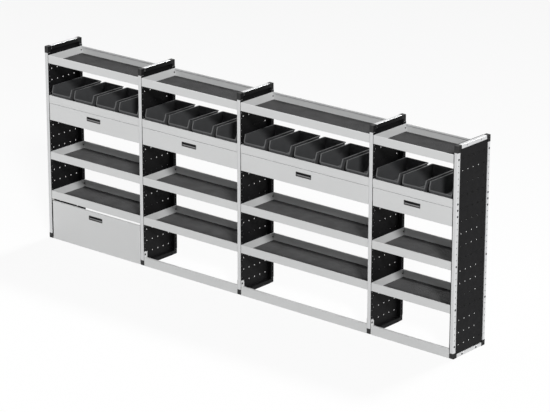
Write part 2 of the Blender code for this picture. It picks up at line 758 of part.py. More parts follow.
def pivot_rod(height, start, end):
    """Make the rod that a paddle turns on."""
    pivot = (FRONT + PIVOT_DEPTH, height + PIVOT_RISE)
    return prism(circle(pivot, ROD_RADIUS, ROD_SIDES), "x", start, end)


def drawer_paddle(centre, height):
    """Make a drawer's paddle with its pivot stubs and the arm that reaches up to the keeper slot."""
    half = BEZEL_WIDTH / 2 - BEZEL_OVERLAP
    arm = prism(arm_outline(height, NOSE_RISE), "x", centre - ARM_WIDTH / 2, centre + ARM_WIDTH / 2)
    return fused(paddle_body(centre, height), arm, pivot_rod(height, centre - half, centre + half))


def flap_edges():
    """Give the x of the flap's two outer sides."""
    left, right = bay_faces(0)
    return left + FLAP_SIDE_GAP, right - FLAP_SIDE_GAP


def flap_paddle(centre, height):
    """Make the flap's paddle: its rod runs to both sides of the flap and carries a hook at each."""
    left, right = flap_edges()
    solid = fused(paddle_body(centre, height), pivot_rod(height, left, right))
    inset = SHEET + HOOK_OFFSET
    outline = arm_outline(height, HOOK_RISE)
    for start in (left + inset, right - inset - HOOK_WIDTH):
        solid = fused(solid, prism(outline, "x", start, start + HOOK_WIDTH))
    return solid


def add_paddle(name, paddle, centre, height):
    """Add a paddle with its origin on the rod that it turns on."""
    add_object(name, paddle, PADDLE_PLASTIC, (centre, FRONT + PIVOT_DEPTH, height + PIVOT_RISE))


# Drawers

def channel(back, reach, half_height):
    """Give the (x, z) outline of a channel whose web stands at back and whose flanges end at reach."""
    way = 1 if reach > back else -1
    web = back + way * RUNNER_WALL
    inner = half_height - RUNNER_WALL
    centre = DRAWER_BOTTOM + RUNNER_CENTRE_RISE
    return [
        (back, centre - half_height), (reach, centre - half_height), (reach, centre - inner),
        (web, centre - inner), (web, centre + inner), (reach, centre + inner),
        (reach, centre + half_height), (back, centre + half_height),
    ]


def drawer_box_back():
    """Give the y of the back of a drawer's box."""
    return BACK - DRAWER_BACK_CLEARANCE


def runner_carrier():
    """Make the left runner plate and its channel, for a bay face at x = 0, folded from the bin tray."""
    start = FRONT + RUNNER_START
    plate = box(
        (FIT_GAP, FRONT + RUNNER_PLATE_INSET, DRAWER_TOP - RUNNER_PLATE_HEIGHT),
        (FIT_GAP + SHEET, BACK - RUNNER_PLATE_INSET, tray_bottom(BIN_TRAY_ROW) + TAB_LAP),
    )
    back = FIT_GAP + SHEET / 2
    outline = channel(back, back + RUNNER_REACH, RUNNER_HALF_HEIGHT)
    return fused(plate, prism(outline, "y", start, start + RUNNER_LENGTH))


def drawer_runner():
    """Make the left channel of a drawer, for a bay face at x = 0, nested in the bin tray's channel."""
    back = DRAWER_SIDE + SHEET / 2
    reach = FIT_GAP + SHEET / 2 + RUNNER_WALL + RUNNER_PLAY
    outline = channel(back, reach, RUNNER_HALF_HEIGHT - RUNNER_WALL - RUNNER_PLAY)
    return prism(outline, "y", FRONT + RUNNER_START, drawer_box_back() - SHEET / 2)


def both_sides(part, bay):
    """Give a bay's left and right copies of a part made for a bay face at x = 0."""
    left, right = bay_faces(bay)
    return gathered([moved(part, (left, 0, 0)), moved(part, (right, 0, 0), (-1, 1, 1))])


def drawer_body(bay):
    """Make a drawer in sheet metal: its folded front, its box and the channels on the box's sides."""
    left, right = bay_faces(bay)
    low = (left + DRAWER_SIDE_GAP, SHEET_FRONT, DRAWER_BOTTOM)
    high = (right - DRAWER_SIDE_GAP, SHEET_FRONT + FRONT_PAN_DEPTH, DRAWER_TOP)
    pan = cut(
        box(low, high),
        box(
            (low[0] + SHEET, low[1] + SHEET, low[2] + SHEET),
            (high[0] - SHEET, high[1] + CUT_OVERRUN, high[2] - SHEET),
        ),
    )
    box_top = DRAWER_BOTTOM + DRAWER_BOX_TOP
    low = (left + DRAWER_SIDE, SHEET_FRONT + SHEET / 2, DRAWER_BOTTOM + SHEET / 2)
    high = (right - DRAWER_SIDE, drawer_box_back(), box_top)
    tub = cut(
        box(low, high),
        box(
            (low[0] + SHEET, low[1] + SHEET, low[2] + SHEET),
            (high[0] - SHEET, high[1] - SHEET, box_top + CUT_OVERRUN),
        ),
    )
    cutout = latch_cutout(bay_centre(bay), DRAWER_LATCH_CENTRE)
    return cut(fused(pan, tub, both_sides(drawer_runner(), bay)), cutout)


def add_drawers():
    """Add each bay's drawer and its latch."""
    for bay in range(BAY_COUNT):
        number = bay + 1
        centre = bay_centre(bay)
        height = DRAWER_LATCH_CENTRE
        add_object(f"drawer_{number}", drawer_body(bay), GREY_PAINT, (centre, FRONT, DRAWER_BOTTOM))
        add_object(f"drawer_latch_housing_{number}", latch_housing(centre, height), BLACK_PLASTIC)
        add_paddle(f"drawer_latch_paddle_{number}", drawer_paddle(centre, height), centre, height)


# Drop-down flap

def flap_pivot():
    """Give the y and z of the axis that the flap turns on."""
    return SHEET_FRONT + FLAP_PIVOT_DEPTH, FLAP_BOTTOM + FLAP_PIVOT_RISE


def flap_body():
    """Make the folded flap with its latch cutout, rod holes and pivot holes."""
    left, right = flap_edges()
    low = (left, SHEET_FRONT, FLAP_BOTTOM)
    high = (right, SHEET_FRONT + FLAP_RETURN, FLAP_TOP)
    hollow = box(
        (low[0] + SHEET, low[1] + SHEET, low[2] + SHEET),
        (high[0] - SHEET, high[1] + CUT_OVERRUN, high[2] - SHEET),
    )
    rod = (FRONT + PIVOT_DEPTH, FLAP_LATCH_CENTRE + PIVOT_RISE)
    holes = [(rod, ROD_RADIUS + ROD_PLAY), (flap_pivot(), PIVOT_PIN_RADIUS + ROD_PLAY)]
    cutters = [
        prism(circle(centre, radius, ROD_SIDES), "x", left - CUT_OVERRUN, right + CUT_OVERRUN)
        for centre, radius in holes
    ]
    return cut(box(low, high), hollow, latch_cutout(bay_centre(0), FLAP_LATCH_CENTRE), gathered(cutters))


def add_flap():
    """Add the flap and its latch."""
    pivot_y, pivot_z = flap_pivot()
    centre = bay_centre(0)
    height = FLAP_LATCH_CENTRE
    add_object("flap", flap_body(), GREY_PAINT, (centre, pivot_y, pivot_z))
    add_object("flap_latch_housing", latch_housing(centre, height), BLACK_PLASTIC)
    add_paddle("flap_latch_paddle", flap_paddle(centre, height), centre, height)


def clear_scene():
    """Remove everything that the scene starts with."""
    for found in list(bpy.data.objects):
        bpy.data.objects.remove(found)


def main():
    """Build the whole rack."""
    clear_scene()
    add_frames()
    add_panels()
    add_trays()
    add_kick_rails()
    add_bins()
    add_drawers()
    add_flap()


main()
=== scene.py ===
"""Looks of the van racking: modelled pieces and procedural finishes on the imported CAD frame.

Lengths are in metres. The rack's front faces -Y, its long side runs along X, and it stands on z = 0.
"""
from math import atan2, cos, pi, radians, sin

import bmesh
import bpy
from mathutils import Matrix, Vector


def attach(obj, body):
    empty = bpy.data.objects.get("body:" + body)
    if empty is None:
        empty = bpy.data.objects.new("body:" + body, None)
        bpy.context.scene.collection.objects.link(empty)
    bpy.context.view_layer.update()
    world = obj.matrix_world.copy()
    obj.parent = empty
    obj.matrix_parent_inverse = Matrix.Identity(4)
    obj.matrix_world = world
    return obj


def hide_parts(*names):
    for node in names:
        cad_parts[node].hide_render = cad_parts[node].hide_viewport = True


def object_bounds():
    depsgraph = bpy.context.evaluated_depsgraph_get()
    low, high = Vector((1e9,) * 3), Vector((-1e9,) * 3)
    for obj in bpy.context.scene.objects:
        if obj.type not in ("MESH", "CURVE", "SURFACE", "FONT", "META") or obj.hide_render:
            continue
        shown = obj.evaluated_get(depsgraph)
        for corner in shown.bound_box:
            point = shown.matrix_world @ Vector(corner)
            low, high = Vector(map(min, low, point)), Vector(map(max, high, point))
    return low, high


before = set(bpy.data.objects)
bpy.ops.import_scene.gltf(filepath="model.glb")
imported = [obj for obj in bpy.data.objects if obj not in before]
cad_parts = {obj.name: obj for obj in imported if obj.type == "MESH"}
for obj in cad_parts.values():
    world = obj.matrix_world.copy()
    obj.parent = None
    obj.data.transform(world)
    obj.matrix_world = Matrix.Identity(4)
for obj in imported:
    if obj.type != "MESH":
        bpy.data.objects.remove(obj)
CAD_LOW, CAD_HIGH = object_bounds()

MM = 0.001
HALF = 0.5

# Layout, as in the CAD model
BAY_MODULE = 250 * MM
BAY_MODULES = (4, 4, 5, 3)
BIN_COUNTS = (4, 4, 5, 3)
HOLE_PITCH = 46.67 * MM
FIT_GAP = 0.3 * MM
SETBACK = 1.5 * MM
SHEET = 1.2 * MM
OVERRUN = 5 * MM
RACK = "rack"

# End frames
POST_WIDTH = 34 * MM
POST_DEEP = 28 * MM
POST_WALL = 2.2 * MM
POST_ROUND = 6 * MM
BACK_ROUND = 1 * MM
CAP_RUN = 45 * MM
TOP_CAP_RISE = 54 * MM
BOTTOM_CAP_RISE = 44 * MM
CAP_ROUND = 7 * MM
CAP_EASE = 1.2 * MM
CAP_LAP = 1 * MM
CAP_PAD_DEPTH = 0.8 * MM
CAP_PAD_MARGIN = 5 * MM
HOLE_RADIUS = 4.5 * MM
HOLE_SIDES = 16
FIRST_HOLE = 2
LAST_HOLE = 32
BOLT_INSET = 13 * MM
RAIL_BOLT_INSET = 108 * MM
PIN_RADIUS = 3 * MM
PIN_REACH = 4 * MM
FLAP_SIDE_GAP = 8 * MM

# Side panels
PANEL_SHEET = 2 * MM
FIELD_HOLE_RADIUS = 4.5 * MM
FIELD_HOLE_SPACING = 62.5 * MM
FIELD_HOLE_COLUMNS = 5
RIM_HOLE_RADIUS = 4.5 * MM
PANEL_EASE = 0.5 * MM

# Trays and mats
TRAY_HEIGHT = 64 * MM
TRAY_HEM = 8 * MM
HEM_DROP = 12 * MM
BEND_RADIUS = 1 * MM
BEND_STEPS = 4
SHEET_EASE = 0.3 * MM
TRAY_ROWS = {"top_tray": 32, "bin_tray": 25, "middle_tray": 15, "lower_tray": 8}
MAT_THICKNESS = 2.5 * MM
MAT_MARGIN = 1.5 * MM
RIB_PITCH = 4 * MM
RIB_HEIGHT = 0.7 * MM
RIB_SHARES = (0.1, 0.6, 0.7)
MAT_GAP = FIT_GAP / 3

# Screws and nuts
HEAD_RADIUS = 6.4 * MM
HEAD_HEIGHT = 3.2 * MM
HEAD_SIDES = 24
DOME_SHRINK = 0.42
DOME_DEGREES = (0, 10, 30, 50, 70, 90)
SOCKET_RADIUS = 2.4 * MM
SOCKET_DEPTH = 2 * MM
SOCKET_SIDES = 6
WASHER_RADIUS = 8 * MM
WASHER_THICKNESS = 0.9 * MM
NUT_RADIUS = 5.6 * MM
NUT_HEIGHT = 3.2 * MM
THREAD_RADIUS = 3 * MM
THREAD_PITCH = 1 * MM
THREAD_GROOVE = 0.12
THREAD_POINTS = 4
RUNNER_ROWS = (24, 23)
TAB_ROW = 2

# Kick rails
KICK_CLEARANCE = 1 * MM
KICK_TOP = 72 * MM
KICK_LEDGE = 18 * MM
TAB_SHEET = 2 * MM
TAB_TOP = 117 * MM
TAB_DEPTH = 34 * MM
TAB_SLOPE = 14 * MM

# Bins
BIN_HEIGHT = 140 * MM
BIN_HALF = 93 * MM
BIN_LENGTH = 345 * MM
BIN_SIDE_DRAFT = 5 * MM
BIN_BACK_DRAFT = 8 * MM
BIN_WALL = 2.5 * MM
BIN_CLEARANCE = 16 * MM
BIN_LIP_HEIGHT = 78 * MM
BIN_LIP_LEAN = 4 * MM
BIN_SIDE_START = 16 * MM
BIN_RIM = 3 * MM
BIN_SIDE_RIM = 7 * MM
BIN_RIM_DEEP = 6 * MM
BIN_CORNER = 9 * MM
BIN_FOOT = 2.5 * MM
BIN_EASE = 0.5 * MM
BIN_HOLLOW_STRETCH = 1.1
# Rim faces of a bin that face up more than this get the paler grey of painted light.
BIN_PAINTED_LIGHT_FACING = 0.3
LABEL_WIDTH = 96 * MM
LABEL_LOW = 22 * MM
LABEL_HIGH = 60 * MM
LABEL_RIM = 2.5 * MM
LABEL_PROUD = 1 * MM
LABEL_SUNK = 0.5 * MM

# Drawers and runners
DRAWER_HEIGHT = 136 * MM
DRAWER_TOP_GAP = 2.5 * MM
DRAWER_SIDE_GAP = 2.2 * MM
PAN_DEPTH = 16 * MM
BOX_TOP = 116 * MM
BOX_BACK = 33 * MM
RUNNER_SPACE = 12 * MM
RUNNER_WALL = 1.2 * MM
RUNNER_PLAY = 0.4 * MM
RUNNER_HALF = 20 * MM
RUNNER_RISE = 54 * MM
RUNNER_REACH = 9.3 * MM
RUNNER_LENGTH = 345 * MM
RUNNER_START = 21 * MM
PLATE_HEIGHT = 104 * MM
PLATE_INSET = 3 * MM
KEEPER_SLOT_PLAY = 2 * MM
BALL_RADIUS = 2 * MM
BALL_SPACING = 22 * MM

# Pull latches
BEZEL_WIDTH = 146 * MM
BEZEL_HEIGHT = 35 * MM
BEZEL_THICKNESS = 1 * MM
BEZEL_OVERLAP = 2.5 * MM
BEZEL_ROUND = 4 * MM
POCKET_WALL = 1.6 * MM
POCKET_BACK = 30 * MM
LATCH_RISE = 89 * MM
PIVOT_DEPTH = 14 * MM
PIVOT_RISE = 9.2 * MM
BARREL_RADIUS = 3 * MM
BARREL_STEPS = 10
PADDLE_SHEET = 2.8 * MM
PADDLE_DROP = 13 * MM
PADDLE_SIDE = 0.5 * MM
LIP_FRONT = 2.2 * MM
LIP_DROP = 20 * MM
LIP_HEIGHT = 9 * MM
LIP_THICKNESS = 3.4 * MM
ROD_RADIUS = 2.5 * MM
ROD_PLAY = 0.4 * MM
ARM_WIDTH = 12 * MM
ARM_THICKNESS = 4.5 * MM
ARM_BACK = 36 * MM
NOSE_THICKNESS = 3.7 * MM
NOSE_RISE = 49 * MM
SLOT_PLAY = 1 * MM
SLOT_DROP = 3 * MM
SLOT_RISE = 12.4 * MM

# Flap
FLAP_BOTTOM = 2 * MM
FLAP_TOP = 321 * MM
FLAP_LATCH = 268.5 * MM
FLAP_PIVOT_DEPTH = 5.5 * MM
FLAP_PIVOT_RISE = 7 * MM
FLAP_KEEPER_FRONT = 3 * MM
FLAP_KEEPER_DEPTH = 24 * MM
FLAP_KEEPER_REACH = 22 * MM
FLAP_KEEPER_HEIGHT = 16 * MM
HOOK_OFFSET = 5 * MM
HOOK_WIDTH = 6 * MM
HOOK_RISE = 30 * MM
HOOK_CLEARANCE = 2.5 * MM

# Rounding and merging
SHARP_ANGLE = radians(50)
EASE_ANGLE = radians(35)
FLAT_ANGLE = 0.001
ARC_STEPS = 5
SMALL_EASE = 0.5 * MM
TOLERANCE = MM / 10
MERGE_DISTANCE = MM / 20

# Textures
TINT_DETAIL = 4
GLOSS_SCALE = 5
GLOSS_DETAIL = 5
GLOSS_CONTRAST = 0.6
GLOSS_RANGE = 0.06
GRAIN_DETAIL = 3
GRAIN_STRENGTH = 0.5
EDGE_FROM = 0.52
EDGE_TO = 0.62
EDGE_SCALE = 60

# Camera, fitted to the photograph's straight edges
CAMERA_AZIMUTH = radians(40.117)
CAMERA_ELEVATION = radians(18.863)
CAMERA_ROLL = radians(0.09)
CAMERA_DISTANCE = 19.7626
CAMERA_TARGET = Vector((355.7 * MM, CAD_LOW.y, 791.1 * MM))
FOCAL_PIXELS = 2665.2
PHOTO_WIDTH = 550
SENSOR_WIDTH = 36

# Places
FRONT = CAD_LOW.y
BACK = CAD_HIGH.y
RACK_HEIGHT = CAD_HIGH.z
SHEET_FRONT = FRONT + SETBACK
SHEET_BACK = BACK - SETBACK
BAY_COUNT = len(BAY_MODULES)
RACK_LENGTH = BAY_MODULE * sum(BAY_MODULES) + POST_WIDTH
FRAME_LEFTS = [BAY_MODULE * sum(BAY_MODULES[:i]) - RACK_LENGTH / 2 for i in range(BAY_COUNT + 1)]
RIM_REACH = FIT_GAP + PANEL_SHEET
BOLT_LINES = (FRONT + BOLT_INSET, BACK - BOLT_INSET)
RAIL_BOLTS = (FRONT + RAIL_BOLT_INSET, BACK - RAIL_BOLT_INSET)
TAB_BOLT = (BOLT_LINES[0], TAB_ROW * HOLE_PITCH)
BIN_TRAY_BOTTOM = TRAY_ROWS["bin_tray"] * HOLE_PITCH - TRAY_HEIGHT / 2
DRAWER_TOP = BIN_TRAY_BOTTOM - DRAWER_TOP_GAP
DRAWER_BOTTOM = DRAWER_TOP - DRAWER_HEIGHT
DRAWER_LATCH = DRAWER_BOTTOM + LATCH_RISE
DRAWER_SIDE = FIT_GAP + SHEET + RUNNER_SPACE
POCKET_HALF_WIDE = BEZEL_WIDTH / 2 - BEZEL_OVERLAP
POCKET_HALF_HIGH = BEZEL_HEIGHT / 2 - BEZEL_OVERLAP
PIVOT = (FRONT + PIVOT_DEPTH, PIVOT_RISE)
FLAP_PIVOT = (SHEET_FRONT + FLAP_PIVOT_DEPTH, FLAP_BOTTOM + FLAP_PIVOT_RISE)


def bay_faces(bay, gap=0):
    """Give the x of the two faces that the pieces of a bay fit between, or of places a gap inside them."""
    left = FRAME_LEFTS[bay] + POST_WIDTH + RIM_REACH
    right = FRAME_LEFTS[bay + 1]
    if bay == BAY_COUNT - 1:
        right -= RIM_REACH
    return left + gap, right - gap


def bay_centre(bay):
    """Give the x of the middle of a bay."""
    left, right = bay_faces(bay)
    return (left + right) / 2


def tray_bottom(row):
    """Give the z of the underside of a tray."""
    return row * HOLE_PITCH - TRAY_HEIGHT / 2


# Procedural finishes

def new_material(name):
    """Start a node material and give its node tree and shader."""
    made = bpy.data.materials.new(name)
    made.use_nodes = True
    return made, made.node_tree, made.node_tree.nodes["Principled BSDF"]


def feed(tree, target, inputs):
    """Set inputs of a node: each is joined to a socket or gets a plain value."""
    for name, value in inputs.items():
        if isinstance(value, bpy.types.NodeSocket):
            tree.links.new(value, target.inputs[name])
        else:
            target.inputs[name].default_value = value


def new_node(tree, kind, inputs, output=0, **settings):
    """Add a node with settings and inputs, and give one of its outputs."""
    made = tree.nodes.new(f"ShaderNode{kind}")
    for name, value in settings.items():
        setattr(made, name, value)
    feed(tree, made, inputs)
    return made.outputs[output]


def maths(tree, operation, first, second):
    """Work out a value from two others."""
    return new_node(tree, "Math", {0: first, 1: second}, operation=operation)


def noise(tree, vector, scale, detail, contrast=HALF):
    """Add a noise texture and give its value."""
    inputs = {"Vector": vector, "Scale": scale, "Detail": detail, "Roughness": contrast}
    return new_node(tree, "TexNoise", inputs, "Fac")


def spread(tree, value, low, high, start=0.3, end=0.7):
    """Map a value from start..end to low..high."""
    inputs = {"Value": value, "From Min": start, "From Max": end, "To Min": low, "To Max": high}
    return new_node(tree, "MapRange", inputs, "Result")


def mixed(tree, factor, first, second):
    """Mix two colours by a value."""
    return new_node(tree, "Mix", {"Factor": factor, "A": first, "B": second}, "Result", data_type="RGBA")


def finish(name, slot, colour, roughness, metallic=0.0, tint=0.04, patch=6, grain=900, stretch=(1, 1, 1),
           relief=0.02, wear_and_highlight=None, coat=0.0, specular=HALF):
    """Make a finish: patchy colour, uneven gloss, fine grain and, if an edge colour is given, paler convex
    edges that are partly wear and partly painted highlight.
    """
    made, tree, shader = new_material(name)
    made["slot"] = slot
    place = tree.nodes.new("ShaderNodeTexCoord").outputs["Object"]
    along = new_node(tree, "Mapping", {"Vector": place, "Scale": stretch}, "Vector")
    darker = tuple(part * (1 - tint) for part in colour)
    paler = tuple(min(1, part * (1 + tint)) for part in colour)
    patches = spread(tree, noise(tree, along, patch, TINT_DETAIL), 0, 1)
    base = mixed(tree, patches, (*darker, 1), (*paler, 1))
    # Paler convex edges: partly wear, partly painted highlight where light would catch the edges.
    if wear_and_highlight:
        corner = tree.nodes.new("ShaderNodeNewGeometry").outputs["Pointiness"]
        edge = spread(tree, corner, 0, 1, EDGE_FROM, EDGE_TO)
        lightened = spread(tree, noise(tree, along, EDGE_SCALE, GRAIN_DETAIL), HALF, 1)
        base = mixed(tree, maths(tree, "MULTIPLY", edge, lightened), base, (*wear_and_highlight, 1))
    gloss = noise(tree, along, patch * GLOSS_SCALE, GLOSS_DETAIL, GLOSS_CONTRAST)
    height = noise(tree, along, grain, GRAIN_DETAIL)
    bump = {"Strength": GRAIN_STRENGTH, "Distance": relief * MM, "Height": height}
    feed(tree, shader, {
        "Base Color": base,
        "Roughness": spread(tree, gloss, roughness - GLOSS_RANGE, roughness + GLOSS_RANGE),
        "Metallic": metallic,
        "Coat Weight": coat,
        "Specular IOR Level": specular,
        "Normal": new_node(tree, "Bump", bump, "Normal"),
    })
    return made


BLACK = (0.008, 0.008, 0.0085)
UPRIGHT_GRAIN = (1, 1, 0.02)
LENGTHWISE_GRAIN = (1, 0.02, 1)
ALUMINIUM_LOOK = dict(slot="aluminium_profile", colour=(0.65, 0.655, 0.66), roughness=0.4, metallic=0.55,
                      grain=700, relief=0.03, tint=0.03)
POST_METAL = finish("post_aluminium", stretch=UPRIGHT_GRAIN, **ALUMINIUM_LOOK)
RAIL_METAL = finish("rail_aluminium", stretch=LENGTHWISE_GRAIN, **ALUMINIUM_LOOK)
# Painted shade: the near black on a post's inner walls stands in for the unlit inside of the tube.
TUBE_PAINTED_SHADE = finish("tube_painted_shade", "aluminium_profile", (0.05, 0.05, 0.05), roughness=0.8, tint=0.2,
                     specular=0)
PAINT = finish("powder_coat", "painted_sheet", (0.63, 0.635, 0.635), roughness=0.42, tint=0.015,
               grain=420, relief=0.05, patch=3, coat=0.08)
PANEL_BLACK = finish("panel_black", "panel_plastic", BLACK, roughness=0.6, tint=0.08, grain=1500,
                     relief=0.05, specular=0.1)
# The caps' paler edge colour is partly wear and partly painted highlight.
CAP_BLACK = finish("cap_black", "panel_plastic", BLACK, roughness=0.45, tint=0.1, grain=1300, relief=0.03,
                   wear_and_highlight=(0.13, 0.13, 0.13), specular=0.15)
BIN_GREY = finish("bin_grey", "bin_plastic", (0.058, 0.059, 0.061), roughness=0.5, tint=0.1, grain=1100,
                  relief=0.04, specular=0.2)
# Painted light: the paler grey of a bin's up-facing rim faces stands in for light falling on them from
# above.
BIN_RIM_PAINTED_LIGHT = finish("bin_rim_painted_light", "bin_plastic", (0.105, 0.106, 0.108), roughness=0.4, tint=0.15,
                      patch=30, grain=1100, relief=0.03, specular=0.3)
RUBBER = finish("mat_rubber", "panel_plastic", (0.075, 0.075, 0.076), roughness=0.9, tint=0.12, patch=9,
                grain=1600, relief=0.08, specular=0)
# The paler edge colours of the latch and paddle finishes are partly wear and partly painted highlight.
LATCH_BLACK = finish("latch_black", "latch_plastic", BLACK, roughness=0.45, tint=0.1, grain=1300,
                     relief=0.03, wear_and_highlight=(0.12, 0.12, 0.12), specular=0.2)
PADDLE_BLACK = finish("paddle_black", "paddle_plastic", (0.01, 0.01, 0.0105), roughness=0.45, tint=0.1,
                      grain=1200, relief=0.03, wear_and_highlight=(0.08, 0.08, 0.08), specular=0.2)
# Painted light: the paddle lip's paler grey stands in for light on the lower part of the paddle.
PADDLE_PAINTED_LIGHT = finish("paddle_painted_light", "paddle_plastic", (0.17, 0.17, 0.172), roughness=0.45, tint=0.06,
                     grain=1200, relief=0.03, wear_and_highlight=(0.3, 0.3, 0.3))
ZINC = finish("zinc_steel", "painted_sheet", (0.55, 0.55, 0.54), roughness=0.35, metallic=0.9, tint=0.1,
              patch=40, grain=900, relief=0.03)
BLACK_STEEL = finish("black_steel", "painted_sheet", (0.01, 0.01, 0.011), roughness=0.5, tint=0.1,
                     patch=60, grain=1200, relief=0.02, specular=0.2)


# Solids

def prism(outline, axis, start, end):
    """Extrude a flat outline along x, y or z. Its points are given in the other two axes, in order."""
    solid = bmesh.new()
    place = {
        "x": lambda point, along: (along, *point),
        "y": lambda point, along: (point[0], along, point[1]),
        "z": lambda point, along: (*point, along),
    }[axis]
    ends = [[solid.verts.new(place(point, along)) for point in outline] for along in (start, end)]
    return skinned(solid, ends)


def skinned(solid, rings):
    """Join neighbouring rings of points with faces and close the first and the last, all facing out."""
    count = len(rings[0])
    for near, far in zip(rings, rings[1:]):
        for i in range(count):
            j = (i + 1) % count
            solid.faces.new((near[i], near[j], far[j], far[i]))
    solid.faces.new(rings[0])
    solid.faces.new(rings[-1])
    bmesh.ops.recalc_face_normals(solid, faces=solid.faces)
    return solid


def box(low, high):
    """Make a box between two corners."""
    outline = [(low[0], low[1]), (high[0], low[1]), (high[0], high[1]), (low[0], high[1])]
    return prism(outline, "z", low[2], high[2])


def circle(centre, radius, sides):
    """Give the points of a circle around a centre."""
    turns = [2 * pi * (i + HALF) / sides for i in range(sides)]
    return [(centre[0] + radius * cos(turn), centre[1] + radius * sin(turn)) for turn in turns]


def rounded(low, high, *radii):
    """Give a rectangle's outline with rounded corners: bottom left, bottom right, top right, top left."""
    radii = radii * 4 if len(radii) == 1 else radii
    centres = [
        (low[0] + radii[0], low[1] + radii[0]), (high[0] - radii[1], low[1] + radii[1]),
        (high[0] - radii[2], high[1] - radii[2]), (low[0] + radii[3], high[1] - radii[3]),
    ]
    points = []
    for corner, (centre, radius) in enumerate(zip(centres, radii)):
        for step in range(ARC_STEPS + 1):
            turn = pi + (corner + step / ARC_STEPS) * pi / 2
            points.append((centre[0] + radius * cos(turn), centre[1] + radius * sin(turn)))
    return points


def folded(line, thickness=SHEET, radius=BEND_RADIUS):
    """Give the outline of a sheet whose outer side follows a line that only turns left."""
    points = [Vector(point) for point in line]
    ways = [(after - before).normalized() for before, after in zip(points, points[1:])]
    sides = [Vector((-way.y, way.x)) for way in ways]
    outer = [points[0]]
    inner = [points[0] + sides[0] * thickness]
    reach = radius + thickness
    for corner, before, after in zip(points[1:], sides, sides[1:]):
        centre = corner + (before + after) * (reach / (1 + before.dot(after)))
        bend = atan2(before.cross(after), before.dot(after))
        for step in range(BEND_STEPS + 1):
            spoke = Matrix.Rotation(bend * step / BEND_STEPS, 2) @ -before
            outer.append(centre + spoke * reach)
            inner.append(centre + spoke * radius)
    outer.append(points[-1])
    inner.append(points[-1] + sides[-1] * thickness)
    return outer + inner[::-1]


def moved(solid, offset=(0, 0, 0), flip=(1, 1, 1)):
    """Give a copy of a solid, mirrored about the origin by flip and then moved."""
    copy = solid.copy()
    bmesh.ops.transform(copy, matrix=Matrix.Diagonal((*flip, 1)), verts=copy.verts)
    bmesh.ops.translate(copy, vec=Vector(offset), verts=copy.verts)
    bmesh.ops.recalc_face_normals(copy, faces=copy.faces)
    return copy


def gathered(*solids):
    """Put solids together in one mesh as they are."""
    whole = bmesh.new()
    for solid in solids:
        mesh = bpy.data.meshes.new("part")
        solid.to_mesh(mesh)
        whole.from_mesh(mesh)
        bpy.data.meshes.remove(mesh)
    return whole


def helper(solid):
    """Put a solid into the scene for a modifier."""
    mesh = bpy.data.meshes.new("helper")
    solid.to_mesh(mesh)
    made = bpy.data.objects.new("helper", mesh)
    bpy.context.scene.collection.objects.link(made)
    return made


def applied(made, *others):
    """Give the solid that a helper's modifiers make, and remove it and the others."""
    bpy.context.view_layer.update()
    evaluated = made.evaluated_get(bpy.context.evaluated_depsgraph_get())
    result = bmesh.new()
    result.from_mesh(evaluated.to_mesh())
    evaluated.to_mesh_clear()
    for spent in (made, *others):
        mesh = spent.data
        bpy.data.objects.remove(spent)
        bpy.data.meshes.remove(mesh)
    return result


def combined(base, tool, operation):
    """Give the exact union, difference or intersection of two solids."""
    body = helper(base)
    cutter = helper(tool)
    modifier = body.modifiers.new("shape", "BOOLEAN")
    modifier.operation = operation
    modifier.solver = "EXACT"
    modifier.object = cutter
    result = applied(body, cutter)
    bmesh.ops.dissolve_limit(result, angle_limit=FLAT_ANGLE, verts=result.verts, edges=result.edges,
                             delimit=set())
    return result


def cut(solid, *tools):
    """Give a solid with each tool's shape taken out."""
    for tool in tools:
        solid = combined(solid, tool, "DIFFERENCE")
    return solid


def fused(*solids):
    """Give the union of solids that overlap."""
    whole = solids[0]
    for solid in solids[1:]:
        whole = combined(whole, solid, "UNION")
    return whole


def bevelled(solid, edges, width, steps):
    """Round edges of a solid."""
    bmesh.ops.bevel(solid, geom=edges, offset=width, segments=steps, profile=HALF, affect="EDGES",
                    clamp_overlap=True)
    return solid


def eased(solid, width, steps=2):
    """Round the sharp edges of a solid."""
    sharp = [e for e in solid.edges if len(e.link_faces) == 2 and e.calc_face_angle(0) > EASE_ANGLE]
    return bevelled(solid, sharp, width, steps)


# Pieces

def mesh_of(name, solid, material):
    """Make the mesh of a piece, smooth but for its sharp edges."""
    mesh = bpy.data.meshes.new(name)
    solid.to_mesh(mesh)
    mesh.materials.append(material)
    mesh.shade_smooth()
    mesh.set_sharp_from_angle(angle=SHARP_ANGLE)
    return mesh


def add(name, shape, material, body=RACK, replaces=(), place=(0, 0, 0)):
    """Add a piece that rides on a body, from a solid or a shared mesh; its material names its slot."""
    mesh = shape if isinstance(shape, bpy.types.Mesh) else mesh_of(name, shape, material)
    piece = bpy.data.objects.new(name, mesh)
    piece.location = place
    bpy.context.scene.collection.objects.link(piece)
    even = piece.modifiers.new("even_shading", "WEIGHTED_NORMAL")
    even.keep_sharp = True
    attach(piece, body)
    if replaces:
        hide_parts(*replaces)


# Screws

def lathe(profile, sides):
    """Turn a profile of (along, radius) points round the x axis; its ends are closed."""
    solid = bmesh.new()
    return skinned(solid, [
        [solid.verts.new((along, *point)) for point in circle((0, 0), radius, sides)]
        for along, radius in profile
    ])


